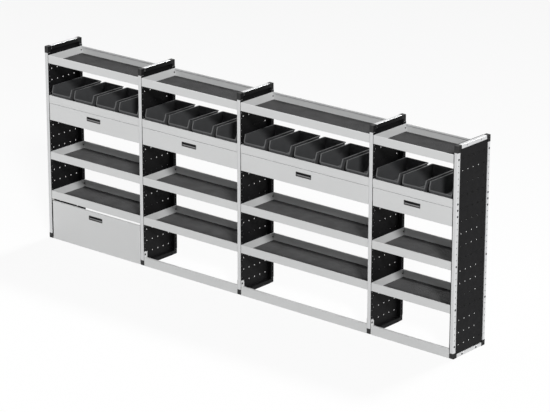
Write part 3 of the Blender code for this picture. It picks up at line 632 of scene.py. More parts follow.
def screw_head():
    """Make a button head with a hexagon socket on a washer, its seat at x = 0 and its crown towards +x."""
    turns = [radians(degrees) for degrees in DOME_DEGREES]
    dome = [(HEAD_HEIGHT * sin(turn), HEAD_RADIUS * (1 - DOME_SHRINK * (1 - cos(turn)))) for turn in turns]
    head = lathe([(-SMALL_EASE, HEAD_RADIUS)] + dome, HEAD_SIDES)
    hexagon = circle((0, 0), SOCKET_RADIUS, SOCKET_SIDES)
    socket = prism(hexagon, "x", HEAD_HEIGHT - SOCKET_DEPTH, HEAD_HEIGHT + OVERRUN)
    washer = lathe([(0, WASHER_RADIUS), (WASHER_THICKNESS, WASHER_RADIUS)], HEAD_SIDES)
    return gathered(cut(head, socket), eased(washer, WASHER_THICKNESS / 3))


def clinch_nut():
    """Make a nut with the tip of its screw, its seat at x = 0 and the screw pointing to +x."""
    nut = eased(prism(circle((0, 0), NUT_RADIUS, SOCKET_SIDES), "x", 0, NUT_HEIGHT), SMALL_EASE)
    thread = [(NUT_HEIGHT + step * THREAD_PITCH / 2, THREAD_RADIUS * (1 - THREAD_GROOVE * (step % 2)))
              for step in range(THREAD_POINTS)]
    return gathered(nut, lathe([(0, THREAD_RADIUS)] + thread, SOCKET_SIDES * 2))


SCREW = screw_head()
NUT = clinch_nut()


def screws(shape, places, x, way):
    """Give copies of a screw or nut at (y, z) places on a face at x, pointing by way along x."""
    return gathered(*[moved(shape, (x, y, z), (way, 1, 1)) for y, z in places])


def inward_screws(shape, places, bay, gap):
    """Give copies of a screw or nut on both sides of a bay, a gap inside its faces, pointing inwards."""
    left, right = bay_faces(bay, gap)
    return gathered(screws(shape, places, left, 1), screws(shape, places, right, -1))


# End frames

def tube(axis, start, end, to_place):
    """Make a hollow profile with its two outer corners rounded; to_place turns a depth into a position."""
    outline = rounded((0, 0), (POST_WIDTH, POST_DEEP), POST_ROUND, POST_ROUND, BACK_ROUND, BACK_ROUND)
    hollow = rounded((POST_WALL, POST_WALL), (POST_WIDTH - POST_WALL, POST_DEEP - POST_WALL),
                     POST_ROUND - POST_WALL, POST_ROUND - POST_WALL, BACK_ROUND, BACK_ROUND)
    outer = prism([(x, to_place(depth)) for x, depth in outline], axis, start, end)
    inner = prism([(x, to_place(depth)) for x, depth in hollow], axis, start - OVERRUN, end + OVERRUN)
    return cut(outer, inner)


def hole_row(places, radius):
    """Give the cutters for holes along x at (y, z) places."""
    return gathered(*[
        prism(circle(place, radius, HOLE_SIDES), "x", -OVERRUN, POST_WIDTH + OVERRUN) for place in places
    ])


def post(line, to_place):
    """Make a post with its row of holes."""
    low = BOTTOM_CAP_RISE - CAP_LAP
    high = RACK_HEIGHT - TOP_CAP_RISE + CAP_LAP
    places = [(line, row * HOLE_PITCH) for row in range(FIRST_HOLE, LAST_HOLE + 1)]
    return cut(tube("z", low, high, to_place), hole_row(places, HOLE_RADIUS))


def paint_tube_shade(mesh):
    """Paint shade on the inner walls of a post: a near black colour that stands in for the unlit inside of
    the tube.
    """
    mesh.materials.append(TUBE_PAINTED_SHADE)
    for face in mesh.polygons:
        across = abs(face.center.x - POST_WIDTH / 2)
        depth = min(face.center.y - FRONT, BACK - face.center.y)
        inner = across < POST_WIDTH / 2 - POST_WALL + TOLERANCE
        inner = inner and POST_WALL - TOLERANCE < depth < POST_DEEP - POST_WALL / 2
        face.material_index = int(inner and abs(face.normal.z) < HALF)


def rail(to_place, height):
    """Make a cross rail with its two bolt holes."""
    solid = tube("y", FRONT + CAP_RUN - CAP_LAP, BACK - CAP_RUN + CAP_LAP, to_place)
    return cut(solid, hole_row([(y, height) for y in RAIL_BOLTS], HOLE_RADIUS))


def cap(rise):
    """Make a corner cap with shallow pads sunk in its faces; y and z run in from the frame's corner."""
    corner = [(CAP_ROUND * (1 - cos(turn)), CAP_ROUND * (1 - sin(turn)))
              for turn in (step * pi / 2 / ARC_STEPS for step in range(ARC_STEPS + 1))]
    legs = [(CAP_RUN, 0), (CAP_RUN, POST_DEEP), (POST_DEEP, POST_DEEP), (POST_DEEP, rise), (0, rise)]
    solid = eased(prism(legs + corner, "x", 0, POST_WIDTH), CAP_EASE, 3)
    margin = CAP_PAD_MARGIN
    deep = CAP_PAD_DEPTH
    pads = [
        eased(box((x - deep, *low), (x + deep, *high)), deep / 2)
        for x in (0, POST_WIDTH)
        for low, high in (
            ((margin, POST_DEEP + margin), (POST_DEEP - margin, rise - margin)),
            ((margin + CAP_ROUND, margin), (CAP_RUN - margin, POST_DEEP - margin)),
        )
    ]
    return cut(solid, gathered(*pads))


def caps():
    """Give the four caps of a frame whose left face is at x = 0."""
    made = []
    low = cap(BOTTOM_CAP_RISE)
    high = cap(TOP_CAP_RISE)
    for y, way in ((FRONT, 1), (BACK, -1)):
        made.append(moved(low, (0, y, 0), (1, way, 1)))
        made.append(moved(high, (0, y, RACK_HEIGHT), (1, way, -1)))
    return made


def add_frames():
    """Add the posts, rails and caps of every end frame."""
    parts = {
        "post_front": (post(BOLT_LINES[0], lambda depth: FRONT + depth), POST_METAL),
        "post_back": (post(BOLT_LINES[1], lambda depth: BACK - depth), POST_METAL),
        "rail_bottom": (rail(lambda depth: depth, POST_DEEP / 2), RAIL_METAL),
        "rail_top": (rail(lambda depth: RACK_HEIGHT - depth, RACK_HEIGHT - POST_DEEP / 2), RAIL_METAL),
    }
    names = ("cap_front_bottom", "cap_front_top", "cap_back_bottom", "cap_back_top")
    parts.update({name: (solid, CAP_BLACK) for name, solid in zip(names, caps())})
    shared = {name: mesh_of(name, solid, material) for name, (solid, material) in parts.items()}
    # Paint shade on the inner walls of both post meshes.
    for name in ("post_front", "post_back"):
        paint_tube_shade(shared[name])
    for i, left in enumerate(FRAME_LEFTS):
        number = i + 1
        for name, (solid, material) in parts.items():
            add(f"{name}_{number}", shared[name], material, RACK, [f"end_frame_{number}"], (left, 0, 0))


def add_outer_screws():
    """Add the screw heads on the outer faces of the two outer frames, and the flap's pivot pins."""
    rows = tuple(TRAY_ROWS.values()) + RUNNER_ROWS
    places = [(y, row * HOLE_PITCH) for y in BOLT_LINES for row in rows]
    places.append(TAB_BOLT)
    places += [(y, POST_DEEP / 2) for y in RAIL_BOLTS]
    for name, x, way in (("left", FRAME_LEFTS[0], -1), ("right", FRAME_LEFTS[-1] + POST_WIDTH, 1)):
        add(f"outer_screws_{name}", screws(SCREW, places, x, way), BLACK_STEEL)
    reach = RIM_REACH + FLAP_SIDE_GAP + PIN_REACH
    pin = lathe([(-CAP_LAP, PIN_RADIUS), (reach - MM, PIN_RADIUS), (reach, PIN_RADIUS - MM)], HEAD_SIDES)
    for name, x, way in (("left", FRAME_LEFTS[0] + POST_WIDTH, 1), ("right", FRAME_LEFTS[1], -1)):
        add(f"flap_pin_{name}", screws(pin, [FLAP_PIVOT], x, way), ZINC)


def panel_holes():
    """Give the cutters for the grid of holes in a panel's field and the rows in its rim."""
    middle = (FRONT + BACK) / 2
    half = FIELD_HOLE_COLUMNS // 2
    columns = [middle + (i - half) * FIELD_HOLE_SPACING for i in range(FIELD_HOLE_COLUMNS)]
    field = [(y, row * HOLE_PITCH) for y in columns for row in range(FIRST_HOLE, LAST_HOLE + 1, 2)]
    rim = [(y, row * HOLE_PITCH) for y in BOLT_LINES for row in range(FIRST_HOLE, LAST_HOLE + 1)]
    return hole_row(field, FIELD_HOLE_RADIUS), hole_row(rim, RIM_HOLE_RADIUS)


def add_panels():
    """Add the side panels: the CAD panel with its holes drilled and its edges rounded."""
    source = bmesh.new()
    source.from_mesh(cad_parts["side_panel_1"].data)
    bmesh.ops.remove_doubles(source, verts=source.verts, dist=MERGE_DISTANCE)
    plain = eased(moved(source, (-FRAME_LEFTS[0], 0, 0)), PANEL_EASE)
    drilled = cut(plain, *panel_holes())
    shared = mesh_of("side_panel", drilled, PANEL_BLACK)
    for i, left in enumerate(FRAME_LEFTS[:-1]):
        add(f"perforated_panel_{i + 1}", shared, PANEL_BLACK, RACK, [f"side_panel_{i + 1}"], (left, 0, 0))
    last = BAY_COUNT + 1
    turned = moved(drilled, (FRAME_LEFTS[-1] + POST_WIDTH, 0, 0), (-1, 1, 1))
    add(f"perforated_panel_{last}", turned, PANEL_BLACK, RACK, [f"side_panel_{last}"])


# Trays

def keeper_slot(bay):
    """Give the cutter for the slot in a bin tray's floor that the drawer's latch arm catches in."""
    centre = bay_centre(bay)
    half = ARM_WIDTH / 2 + KEEPER_SLOT_PLAY
    back = FRONT + ARM_BACK
    return box(
        (centre - half, back - NOSE_THICKNESS - KEEPER_SLOT_PLAY, BIN_TRAY_BOTTOM - OVERRUN),
        (centre + half, back + KEEPER_SLOT_PLAY, BIN_TRAY_BOTTOM + OVERRUN),
    )


def tray_sheet(bay, row):
    """Make a tray's folded sheet: floor, front and back walls with their hems, and the two end walls."""
    low, high = bay_faces(bay, FIT_GAP)
    bottom = tray_bottom(row)
    top = bottom + TRAY_HEIGHT
    hem_front = SHEET_FRONT + TRAY_HEM
    hem_back = SHEET_BACK - TRAY_HEM
    line = [
        (hem_front, top - HEM_DROP), (hem_front, top), (SHEET_FRONT, top), (SHEET_FRONT, bottom),
        (SHEET_BACK, bottom), (SHEET_BACK, top), (hem_back, top), (hem_back, top - HEM_DROP),
    ]
    wall = prism(rounded((SHEET_FRONT, bottom), (SHEET_BACK, top), SHEET + BEND_RADIUS), "x", 0, SHEET)
    sheet = prism(folded(line), "x", low + SHEET, high - SHEET)
    if row == TRAY_ROWS["bin_tray"]:
        sheet = cut(sheet, keeper_slot(bay))
    return gathered(
        sheet,
        moved(eased(wall, SHEET_EASE), (low, 0, 0)),
        moved(eased(wall, SHEET_EASE), (high - SHEET, 0, 0)),
    )


def ribbed_mat(bay, row):
    """Make the ribbed rubber mat that lies on a tray's floor."""
    left, right = bay_faces(bay, FIT_GAP + SHEET + MAT_MARGIN)
    floor = tray_bottom(row) + SHEET + MAT_GAP
    top = floor + MAT_THICKNESS
    start = SHEET_FRONT + SHEET + MAT_MARGIN
    end = SHEET_BACK - SHEET - MAT_MARGIN
    count = int((end - start) / RIB_PITCH)
    pitch = (end - start) / count
    valley = top - RIB_HEIGHT
    rise, crest, fall = (pitch * share for share in RIB_SHARES)
    outline = [(end, floor), (start, floor)]
    for i in range(count):
        y = start + pitch * i
        outline += [(y, valley), (y + rise, top), (y + crest, top), (y + fall, valley)]
    outline.append((end, valley))
    return prism(outline, "x", left, right)


def both_sides(part, bay):
    """Give a bay's left and right copies of a part made for a bay face at x = 0."""
    left, right = bay_faces(bay)
    return gathered(moved(part, (left, 0, 0)), moved(part, (right, 0, 0), (-1, 1, 1)))


def runner_plate():
    """Make the plate that hangs from a bin tray beside the drawer, for a bay face at x = 0."""
    outline = rounded(
        (FRONT + PLATE_INSET, DRAWER_TOP - PLATE_HEIGHT),
        (BACK - PLATE_INSET, BIN_TRAY_BOTTOM),
        CAP_ROUND, CAP_ROUND, MM, MM,
    )
    return eased(prism(outline, "x", FIT_GAP, FIT_GAP + SHEET), SHEET_EASE)


def channel(back, reach, half_height):
    """Give the (x, z) outline of a runner channel, folded from back towards reach."""
    centre = DRAWER_BOTTOM + RUNNER_RISE
    line = [(reach, centre + half_height), (back, centre + half_height),
            (back, centre - half_height), (reach, centre - half_height)]
    if reach < back:
        line.reverse()
    return folded(line, RUNNER_WALL, RUNNER_WALL / 2)


def outer_channel():
    """Make the runner member that is fixed to a runner plate, for a bay face at x = 0."""
    start = FRONT + RUNNER_START
    back = FIT_GAP + SHEET
    outline = channel(back, back - SHEET / 2 + RUNNER_REACH, RUNNER_HALF)
    return prism(outline, "y", start, start + RUNNER_LENGTH)


def inner_channel():
    """Make the runner member of a drawer, nested in the outer one, for a bay face at x = 0."""
    reach = FIT_GAP + SHEET / 2 + RUNNER_WALL + RUNNER_PLAY
    outline = channel(DRAWER_SIDE, reach, RUNNER_HALF - RUNNER_WALL - RUNNER_PLAY)
    return prism(outline, "y", FRONT + RUNNER_START, BACK - BOX_BACK - SHEET / 2)


def ball_cage():
    """Make the two rows of balls between the runner members' back halves, for a bay face at x = 0."""
    start = FRONT + RUNNER_START + RUNNER_LENGTH / 2
    end = FRONT + RUNNER_START + RUNNER_LENGTH - BALL_SPACING
    x = FIT_GAP + SHEET + RUNNER_WALL + RUNNER_PLAY + BALL_RADIUS
    centre = DRAWER_BOTTOM + RUNNER_RISE
    balls = []
    for i in range(int((end - start) / BALL_SPACING)):
        for side in (-1, 1):
            ball = bmesh.new()
            bmesh.ops.create_icosphere(ball, subdivisions=2, radius=BALL_RADIUS)
            z = centre + side * (RUNNER_HALF / 2)
            balls.append(moved(ball, (x, start + BALL_SPACING * i, z)))
    return gathered(*balls)


def flap_keeper():
    """Make the left keeper of the flap's hooks, for a bay face at x = 0."""
    low = FLAP_LATCH + HOOK_RISE + HOOK_CLEARANCE
    back = FRONT + FLAP_KEEPER_FRONT + FLAP_KEEPER_DEPTH
    high = tray_bottom(TRAY_ROWS["lower_tray"]) - MM
    outline = rounded((FRONT + FLAP_KEEPER_FRONT, low), (back - MM, high), MM)
    tab = prism(outline, "x", FIT_GAP, FIT_GAP + SHEET)
    line = [(FIT_GAP, back - FLAP_KEEPER_DEPTH / 2), (FIT_GAP, back), (FLAP_KEEPER_REACH, back)]
    arm = prism(folded(line[::-1]), "z", low, low + FLAP_KEEPER_HEIGHT)
    return gathered(eased(tab, SHEET_EASE), arm)


def add_trays():
    """Add the trays with their mats, nuts and what hangs from them."""
    for bay in range(BAY_COUNT):
        number = bay + 1
        for kind, row in TRAY_ROWS.items():
            name = f"{kind}_{number}"
            add(f"{name}_sheet", eased(tray_sheet(bay, row), SHEET_EASE), PAINT, RACK, [name])
            places = [(y, row * HOLE_PITCH) for y in BOLT_LINES]
            nuts = inward_screws(NUT, places, bay, FIT_GAP + SHEET)
            add(f"{name}_nuts", nuts, BLACK_STEEL, RACK, [name])
            if kind != "bin_tray":
                add(f"{name}_mat", ribbed_mat(bay, row), RUBBER)
        node = [f"bin_tray_{number}"]
        add(f"runner_plates_{number}", both_sides(runner_plate(), bay), PAINT, RACK, node)
        add(f"outer_channels_{number}", both_sides(outer_channel(), bay), ZINC, RACK, node)
        add(f"ball_cages_{number}", both_sides(ball_cage(), bay), ZINC)
    add("flap_keepers", both_sides(flap_keeper(), 0), ZINC, RACK, ["lower_tray_1"])


def kick_rail(bay):
    """Make the folded sheet of a bay's kick rail with its two end tabs."""
    low, high = bay_faces(bay, FIT_GAP)
    line = [(SHEET_FRONT + KICK_LEDGE, KICK_TOP), (SHEET_FRONT, KICK_TOP), (SHEET_FRONT, KICK_CLEARANCE)]
    sheet = prism(folded(line), "x", low + TAB_SHEET, high - TAB_SHEET)
    tab_back = SHEET_FRONT + TAB_DEPTH
    outline = [
        (SHEET_FRONT, KICK_CLEARANCE), (tab_back, KICK_CLEARANCE), (tab_back, TAB_TOP - TAB_SLOPE),
        (tab_back - TAB_SLOPE, TAB_TOP), (SHEET_FRONT, TAB_TOP),
    ]
    tab = eased(prism(outline, "x", 0, TAB_SHEET), SHEET_EASE)
    return gathered(eased(sheet, SHEET_EASE), moved(tab, (low, 0, 0)), moved(tab, (high - TAB_SHEET, 0, 0)))


def add_kick_rails():
    """Add the kick rails and the screws through their end tabs."""
    for bay in range(1, BAY_COUNT):
        number = bay + 1
        add(f"kick_rail_sheet_{number}", kick_rail(bay), PAINT, RACK, [f"kick_rail_{number}"])
        bolts = inward_screws(SCREW, [TAB_BOLT], bay, FIT_GAP + TAB_SHEET)
        add(f"kick_rail_screws_{number}", bolts, BLACK_STEEL)


# Bins

def bin_ring(solid, z, inset, flange):
    """Add the rounded ring of a bin's wall at a height, inset from its outside and wider by a flange."""
    rise = z / BIN_HEIGHT
    half = BIN_HALF + BIN_SIDE_DRAFT * rise - inset + flange
    front = -BIN_LIP_LEAN * z / BIN_LIP_HEIGHT + inset
    back = BIN_LENGTH + BIN_BACK_DRAFT * rise - inset
    outline = rounded((-half, front), (half, back), max(BIN_CORNER - inset, MM))
    return [solid.verts.new((x, y, z)) for x, y in outline]


def bin_loft(levels, flange=0):
    """Make a closed solid through rings given as (height, inset)."""
    solid = bmesh.new()
    return skinned(solid, [bin_ring(solid, z, inset, flange) for z, inset in levels])


def bin_band(depth, back):
    """Give the (y, z) outline of a band under a bin's upper edge, or of all above it at depth 0."""
    ahead = -BIN_LIP_LEAN - BIN_CLEARANCE / 2
    edge = [(back, BIN_HEIGHT), (BIN_SIDE_START, BIN_HEIGHT),
            (-BIN_LIP_LEAN, BIN_LIP_HEIGHT), (ahead, BIN_LIP_HEIGHT)]
    if depth > 0:
        steep = depth / 2
        under = [(ahead, BIN_LIP_HEIGHT - depth), (steep - BIN_LIP_LEAN, BIN_LIP_HEIGHT - depth),
                 (BIN_SIDE_START + steep, BIN_HEIGHT - depth), (back, BIN_HEIGHT - depth)]
    else:
        above = BIN_HEIGHT + OVERRUN * 2
        under = [(ahead, above), (back, above)]
    return edge + under


def label_holder():
    """Make the raised frame of a label holder, sheared to lie on the leaning front of a bin."""
    half = LABEL_WIDTH / 2
    outer = prism(rounded((-half, LABEL_LOW), (half, LABEL_HIGH), LABEL_RIM), "y", -LABEL_PROUD, LABEL_SUNK)
    inner = prism(
        rounded((-half + LABEL_RIM, LABEL_LOW + LABEL_RIM), (half - LABEL_RIM, LABEL_HIGH + LABEL_RIM), MM),
        "y", -OVERRUN, OVERRUN,
    )
    holder = eased(cut(outer, inner), SHEET_EASE)
    for vert in holder.verts:
        vert.co.y -= vert.co.z * BIN_LIP_LEAN / BIN_LIP_HEIGHT
    return holder


def bin_solid():
    """Make one open-fronted bin with rounded corners, a thick rim and a label holder."""
    over = BIN_HEIGHT + OVERRUN
    past = BIN_LENGTH + BIN_BACK_DRAFT + OVERRUN
    half = BIN_HALF + BIN_SIDE_DRAFT + BIN_SIDE_RIM + OVERRUN
    shell = bin_loft([(0, BIN_FOOT), (BIN_FOOT / 2, BIN_FOOT / 3), (BIN_FOOT, 0), (over, 0)])
    rim = combined(
        bin_loft([(BIN_LIP_HEIGHT / 2, -BIN_RIM), (over, -BIN_RIM)], BIN_SIDE_RIM - BIN_RIM),
        prism(bin_band(BIN_RIM_DEEP, past), "x", -half, half), "INTERSECT",
    )
    above = over * BIN_HOLLOW_STRETCH
    hollow = bin_loft([(BIN_WALL, BIN_WALL * 2), (BIN_WALL * 2, BIN_WALL), (above, BIN_WALL)])
    away = prism(bin_band(0, past), "x", -half, half)
    body = cut(fused(shell, rim), hollow, away)
    return gathered(eased(body, BIN_EASE), label_holder())


def bin_mesh():
    """Make the mesh of a bin with painted light on its rim: the rim and edge faces that face up get a paler
    grey, standing in for light from above.
    """
    mesh = mesh_of("bin", bin_solid(), BIN_GREY)
    mesh.materials.append(BIN_RIM_PAINTED_LIGHT)
    # Up-facing faces above the lip get the paler grey: painted light from above.
    for face in mesh.polygons:
        lightened = face.normal.z > BIN_PAINTED_LIGHT_FACING and face.center.z > BIN_LIP_HEIGHT + BIN_RIM
        face.material_index = int(lightened)
    return mesh


def add_bins():
    """Add the bins, side by side on the floors of the bin trays."""
    shared = bin_mesh()
    base = BIN_TRAY_BOTTOM + SHEET + FIT_GAP
    number = 0
    for bay, count in enumerate(BIN_COUNTS):
        left, right = bay_faces(bay)
        pitch = (right - left) / count
        for i in range(count):
            number += 1
            name = f"bin_{number:02d}"
            place = (left + pitch * (i + HALF), FRONT + BIN_CLEARANCE, base)
            add(f"{name}_moulding", shared, BIN_GREY, f"{name}_body", [name], place)


# Pull latches, made around the middle of the bezel at (0, FRONT, 0)

def latch_block(wide, high, radius, near, far):
    """Make a block with rounded edges around the middle of the bezel, from one depth to another."""
    return prism(rounded((-wide, -high), (wide, high), radius), "y", near, far)


def latch_housing():
    """Make the black pocket and bezel of a pull latch."""
    wide = POCKET_HALF_WIDE
    high = POCKET_HALF_HIGH
    seat = SHEET_FRONT - FIT_GAP
    bezel = latch_block(BEZEL_WIDTH / 2, BEZEL_HEIGHT / 2, BEZEL_ROUND, seat - BEZEL_THICKNESS, seat)
    back = FRONT + POCKET_BACK
    pocket = latch_block(wide, high, BEZEL_OVERLAP, seat - FIT_GAP, back)
    hollow = latch_block(wide - POCKET_WALL, high - POCKET_WALL, MM, FRONT - OVERRUN, back - POCKET_WALL)
    half = ARM_WIDTH / 2 + SLOT_PLAY
    slot = box((-half, back - 2 * POCKET_WALL, -SLOT_DROP), (half, back + OVERRUN, SLOT_RISE))
    reach = BEZEL_WIDTH / 2 + OVERRUN
    bore = prism(circle(PIVOT, ROD_RADIUS + ROD_PLAY, HOLE_SIDES), "x", -reach, reach)
    return cut(fused(eased(bezel, SHEET_EASE), pocket), hollow, slot, bore)


def paddle_outline():
    """Give the (y, z) outline of a paddle: a barrel, a plate hanging from it and a lip to pull."""
    y, z = PIVOT
    r = BARREL_RADIUS
    turns = [pi * step / BARREL_STEPS for step in range(BARREL_STEPS + 1)]
    barrel = [(y + r * cos(turn), z + r * sin(turn)) for turn in turns]
    plate_front = y + r - PADDLE_SHEET
    plate_bottom = z - PADDLE_DROP
    lip = FRONT + LIP_FRONT
    lip_back = lip + LIP_THICKNESS
    lip_bottom = z - LIP_DROP
    lip_top = lip_bottom + LIP_HEIGHT
    plate = [(y - r, z - r / 2), (plate_front, z - r), (plate_front, plate_bottom + PADDLE_SHEET),
             (lip_back, lip_bottom + PADDLE_SHEET)]
    crest = [(lip + LIP_THICKNESS / 2 * (1 + cos(turn)), lip_top - LIP_THICKNESS / 2 * (1 - sin(turn)))
             for turn in turns]
    foot = [(lip, lip_bottom + MM), (lip + MM, lip_bottom), (lip_back, lip_bottom), (y + r, plate_bottom)]
    return barrel + plate + crest + foot


def arm_solid(rise, width):
    """Make a latch arm that runs back from the barrel and turns up to its nose."""
    y, z = PIVOT
    half = ARM_THICKNESS / 2
    back = FRONT + ARM_BACK
    outline = [
        (y, z - half), (back - half, z - half), (back, z), (back, rise),
        (back - NOSE_THICKNESS, rise), (back - NOSE_THICKNESS, z + half), (y, z + half),
    ]
    return eased(prism(outline, "x", -width / 2, width / 2), SMALL_EASE)


def paddle_plate():
    """Make the moulded paddle."""
    half = POCKET_HALF_WIDE - POCKET_WALL - PADDLE_SIDE
    return eased(prism(paddle_outline(), "x", -half, half), SMALL_EASE)


def paddle_mesh():
    """Make the mesh of a black paddle whose lip to pull gets painted light: a paler grey that stands in for
    light on the lip below the pocket's shaded top.
    """
    mesh = mesh_of("latch_paddle", paddle_plate(), PADDLE_BLACK)
    mesh.materials.append(PADDLE_PAINTED_LIGHT)
    lip_back = FRONT + LIP_FRONT + LIP_THICKNESS + MM
    # Faces of the lip get the paler grey: painted light on the lit front of the paddle.
    for face in mesh.polygons:
        face.material_index = int(face.center.y < lip_back)
    return mesh


def rod(start, end):
    """Make the steel rod that a paddle turns on."""
    return eased(prism(circle(PIVOT, ROD_RADIUS, HOLE_SIDES), "x", start, end), SHEET_EASE)


def add_latches():
    """Add the housings, paddles, rods and arms of the five pull latches."""
    housing = mesh_of("latch_housing", latch_housing(), LATCH_BLACK)
    paddle = paddle_mesh()
    short_rod = mesh_of("latch_rod", rod(-POCKET_HALF_WIDE, POCKET_HALF_WIDE), ZINC)
    arm = mesh_of("latch_arm", arm_solid(NOSE_RISE, ARM_WIDTH), ZINC)
    for bay in range(BAY_COUNT):
        number = bay + 1
        place = (bay_centre(bay), 0, DRAWER_LATCH)
        node = [f"drawer_latch_paddle_{number}"]
        body = f"paddle_{number}_body"
        add(f"drawer_pocket_{number}", housing, LATCH_BLACK, f"drawer_{number}_body",
            [f"drawer_latch_housing_{number}"], place)
        add(f"drawer_paddle_{number}", paddle, PADDLE_PAINTED_LIGHT, body, node, place)
        add(f"drawer_rod_{number}", short_rod, ZINC, body, node, place)
        add(f"drawer_arm_{number}", arm, ZINC, body, node, place)
    centre = bay_centre(0)
    place = (centre, 0, FLAP_LATCH)
    node = ["flap_latch_paddle"]
    low, high = (x - centre for x in bay_faces(0, FLAP_SIDE_GAP))
    inset = SHEET + HOOK_OFFSET + HOOK_WIDTH / 2
    hook = arm_solid(HOOK_RISE, HOOK_WIDTH)
    hooks = gathered(moved(hook, (low + inset, 0, 0)), moved(hook, (high - inset, 0, 0)))
    add("flap_pocket", housing, LATCH_BLACK, "flap_body", ["flap_latch_housing"], place)
    add("flap_paddle", paddle, PADDLE_PAINTED_LIGHT, "flap_paddle_body", node, place)
    add("flap_rod", rod(low, high), ZINC, "flap_paddle_body", node, place)
    add("flap_hooks", hooks, ZINC, "flap_paddle_body", node, place)


def latch_cutout(centre, height):
    """Give the cutter for the hole in a front that a latch's pocket passes through."""
    wide = POCKET_HALF_WIDE + FIT_GAP
    high = POCKET_HALF_HIGH + FIT_GAP
    return box(
        (centre - wide, FRONT - OVERRUN, height - high),
        (centre + wide, FRONT + POCKET_BACK, height + high),
    )


# Folded fronts and drawers

def open_box(low, high, axis):
    """Make a sheet metal box with rounded bends, open at its high end along an axis, given by number."""
    solid = box(low, high)
    lids = [f for f in solid.faces if f.normal[axis] > HALF]
    bmesh.ops.delete(solid, geom=lids, context="FACES")
    bends = [e for e in solid.edges if len(e.link_faces) == 2]
    shell = helper(bevelled(solid, bends, BEND_RADIUS + SHEET, BEND_STEPS))
    wall = shell.modifiers.new("wall", "SOLIDIFY")
    wall.thickness = SHEET
    wall.offset = -1
    return applied(shell)


# Numbers of the axes that a box is open along
OPEN_BACK = 1
OPEN_TOP = 2


def add_drawers():
    """Add the folded front, box, and runner members of each drawer."""
    for bay in range(BAY_COUNT):
        number = bay + 1
        body = f"drawer_{number}_body"
        node = [f"drawer_{number}"]
        cutout = latch_cutout(bay_centre(bay), DRAWER_LATCH)
        left, right = bay_faces(bay, DRAWER_SIDE_GAP)
        far_corner = (right, SHEET_FRONT + PAN_DEPTH, DRAWER_TOP)
        pan = open_box((left, SHEET_FRONT, DRAWER_BOTTOM), far_corner, OPEN_BACK)
        add(f"drawer_front_{number}", cut(pan, cutout), PAINT, body, node)
        left, right = bay_faces(bay, DRAWER_SIDE)
        far_corner = (right, BACK - BOX_BACK, DRAWER_BOTTOM + BOX_TOP)
        tub = open_box((left, SHEET_FRONT + SHEET, DRAWER_BOTTOM + SHEET), far_corner, OPEN_TOP)
        add(f"drawer_box_{number}", cut(tub, cutout), PAINT, body, node)
        add(f"drawer_channels_{number}", both_sides(inner_channel(), bay), ZINC, body, node)


def add_flap():
    """Add the folded flap with its latch cutout, rod holes and pivot holes."""
    low, high = bay_faces(0, FLAP_SIDE_GAP)
    pan = open_box((low, SHEET_FRONT, FLAP_BOTTOM), (high, SHEET_FRONT + PAN_DEPTH, FLAP_TOP), OPEN_BACK)
    rod_place = (PIVOT[0], FLAP_LATCH + PIVOT[1])
    bores = gathered(*[
        prism(circle(place, radius + ROD_PLAY, HOLE_SIDES), "x", low - OVERRUN, high + OVERRUN)
        for place, radius in ((rod_place, ROD_RADIUS), (FLAP_PIVOT, PIN_RADIUS))
    ])
    add("flap_front", cut(pan, latch_cutout(bay_centre(0), FLAP_LATCH), bores), PAINT, "flap_body", ["flap"])


# Stage, light and camera

FLOOR_REACH = 60
FLOOR_COLOUR = (0.6, 0.6, 0.6)
FLOOR_ROUGHNESS = 0.9
FLOOR_GLOW = 0.88
FLOOR_AHEAD = Vector((-sin(CAMERA_AZIMUTH), cos(CAMERA_AZIMUTH), 0))
FLOOR_NEAR_WHITE = 1.025
FLOOR_FAR_WHITE = 0.947
FLOOR_NEAR = 0
FLOOR_FAR = 9
BACKDROP_WHITE = 0.94
SKY_STRENGTH = 0.33
SUNS = {
    "back_sun": (2.3, radians(8), Vector((0, 0.56, 0.83))),
    "front_sun": (2.45, radians(9), Vector((0.8, -0.64, 0.62))),
}


def seen_directly(tree):
    """Give 1 for rays from the camera, through glass and off shiny surfaces, and 0 for the rest."""
    ray = tree.nodes.new("ShaderNodeLightPath").outputs
    either = maths(tree, "MAXIMUM", ray["Is Camera Ray"], ray["Is Glossy Ray"])
    return maths(tree, "MAXIMUM", either, ray["Is Transmission Ray"])


def show_mix(tree, output, share, first, second):
    """Show a mix of two shaders at an output node."""
    feed(tree, tree.nodes[output], {"Surface": new_node(tree, "MixShader", {0: share, 1: first, 2: second})})


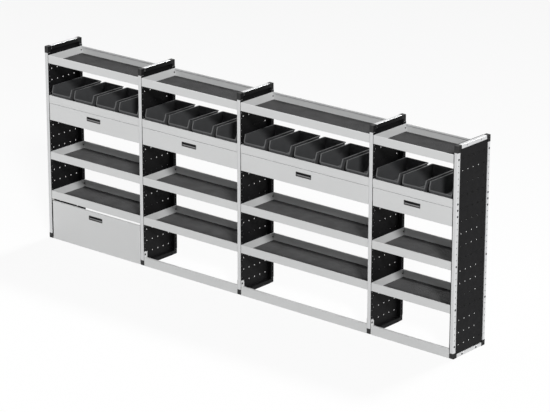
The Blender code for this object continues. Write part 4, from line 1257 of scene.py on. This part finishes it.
def add_floor():
    """Add the pale floor: it lights the rack from below and keeps its soft shadow."""
    solid = bmesh.new()
    bmesh.ops.create_grid(solid, x_segments=1, y_segments=1, size=FLOOR_REACH)
    mesh = bpy.data.meshes.new("floor")
    solid.to_mesh(mesh)
    floor = bpy.data.objects.new("floor", mesh)
    bpy.context.scene.collection.objects.link(floor)
    made, tree, shader = new_material("floor_white")
    colour = (*FLOOR_COLOUR, 1)
    feed(tree, shader, {"Base Color": colour, "Roughness": FLOOR_ROUGHNESS, "Specular IOR Level": 0})
    place = tree.nodes.new("ShaderNodeTexCoord").outputs["Object"]
    ahead = new_node(tree, "VectorMath", {0: place, 1: FLOOR_AHEAD}, "Value", operation="DOT_PRODUCT")
    white = spread(tree, ahead, FLOOR_NEAR_WHITE, FLOOR_FAR_WHITE, FLOOR_NEAR, FLOOR_FAR)
    glow = new_node(tree, "Emission", {"Strength": white})
    share = maths(tree, "MULTIPLY", seen_directly(tree), FLOOR_GLOW)
    show_mix(tree, "Material Output", share, shader.outputs[0], glow)
    mesh.materials.append(made)


def add_lights():
    """Light the rack with an even surround and two suns, from the front right and from high up behind."""
    scene = bpy.context.scene
    scene.world = bpy.data.worlds.new("studio")
    scene.world.use_nodes = True
    tree = scene.world.node_tree
    ambient = tree.nodes["Background"]
    feed(tree, ambient, {"Color": (1, 1, 1, 1), "Strength": SKY_STRENGTH})
    white = new_node(tree, "Background", {"Strength": BACKDROP_WHITE})
    show_mix(tree, "World Output", seen_directly(tree), ambient.outputs[0], white)
    for name, (strength, softness, direction) in SUNS.items():
        lamp = bpy.data.lights.new(name, "SUN")
        lamp.energy = strength
        lamp.angle = softness
        sun = bpy.data.objects.new(name, lamp)
        sun.rotation_mode = "QUATERNION"
        sun.rotation_quaternion = direction.to_track_quat("Z", "Y")
        scene.collection.objects.link(sun)


def add_camera():
    """Set the camera that matches the photograph."""
    azimuth = CAMERA_AZIMUTH
    elevation = CAMERA_ELEVATION
    back = Vector((sin(azimuth) * cos(elevation), -cos(azimuth) * cos(elevation), sin(elevation)))
    right = Vector((cos(azimuth), sin(azimuth), 0))
    up = back.cross(right)
    lens = bpy.data.cameras.new("photo_view")
    lens.sensor_width = SENSOR_WIDTH
    lens.lens = FOCAL_PIXELS / PHOTO_WIDTH * SENSOR_WIDTH
    lens.clip_end = CAMERA_DISTANCE * 10
    camera = bpy.data.objects.new("photo_view", lens)
    turn = Matrix((right, up, back)).transposed().to_4x4() @ Matrix.Rotation(CAMERA_ROLL, 4, "Z")
    turn.translation = CAMERA_TARGET + back * CAMERA_DISTANCE
    camera.matrix_world = turn
    bpy.context.scene.collection.objects.link(camera)
    bpy.context.scene.camera = camera


def main():
    """Build the scene around the frame."""
    add_camera()
    add_frames()
    add_outer_screws()
    add_panels()
    add_trays()
    add_kick_rails()
    add_bins()
    add_drawers()
    add_latches()
    add_flap()
    add_floor()
    add_lights()
    bpy.context.scene.view_settings.view_transform = "Standard"


main()
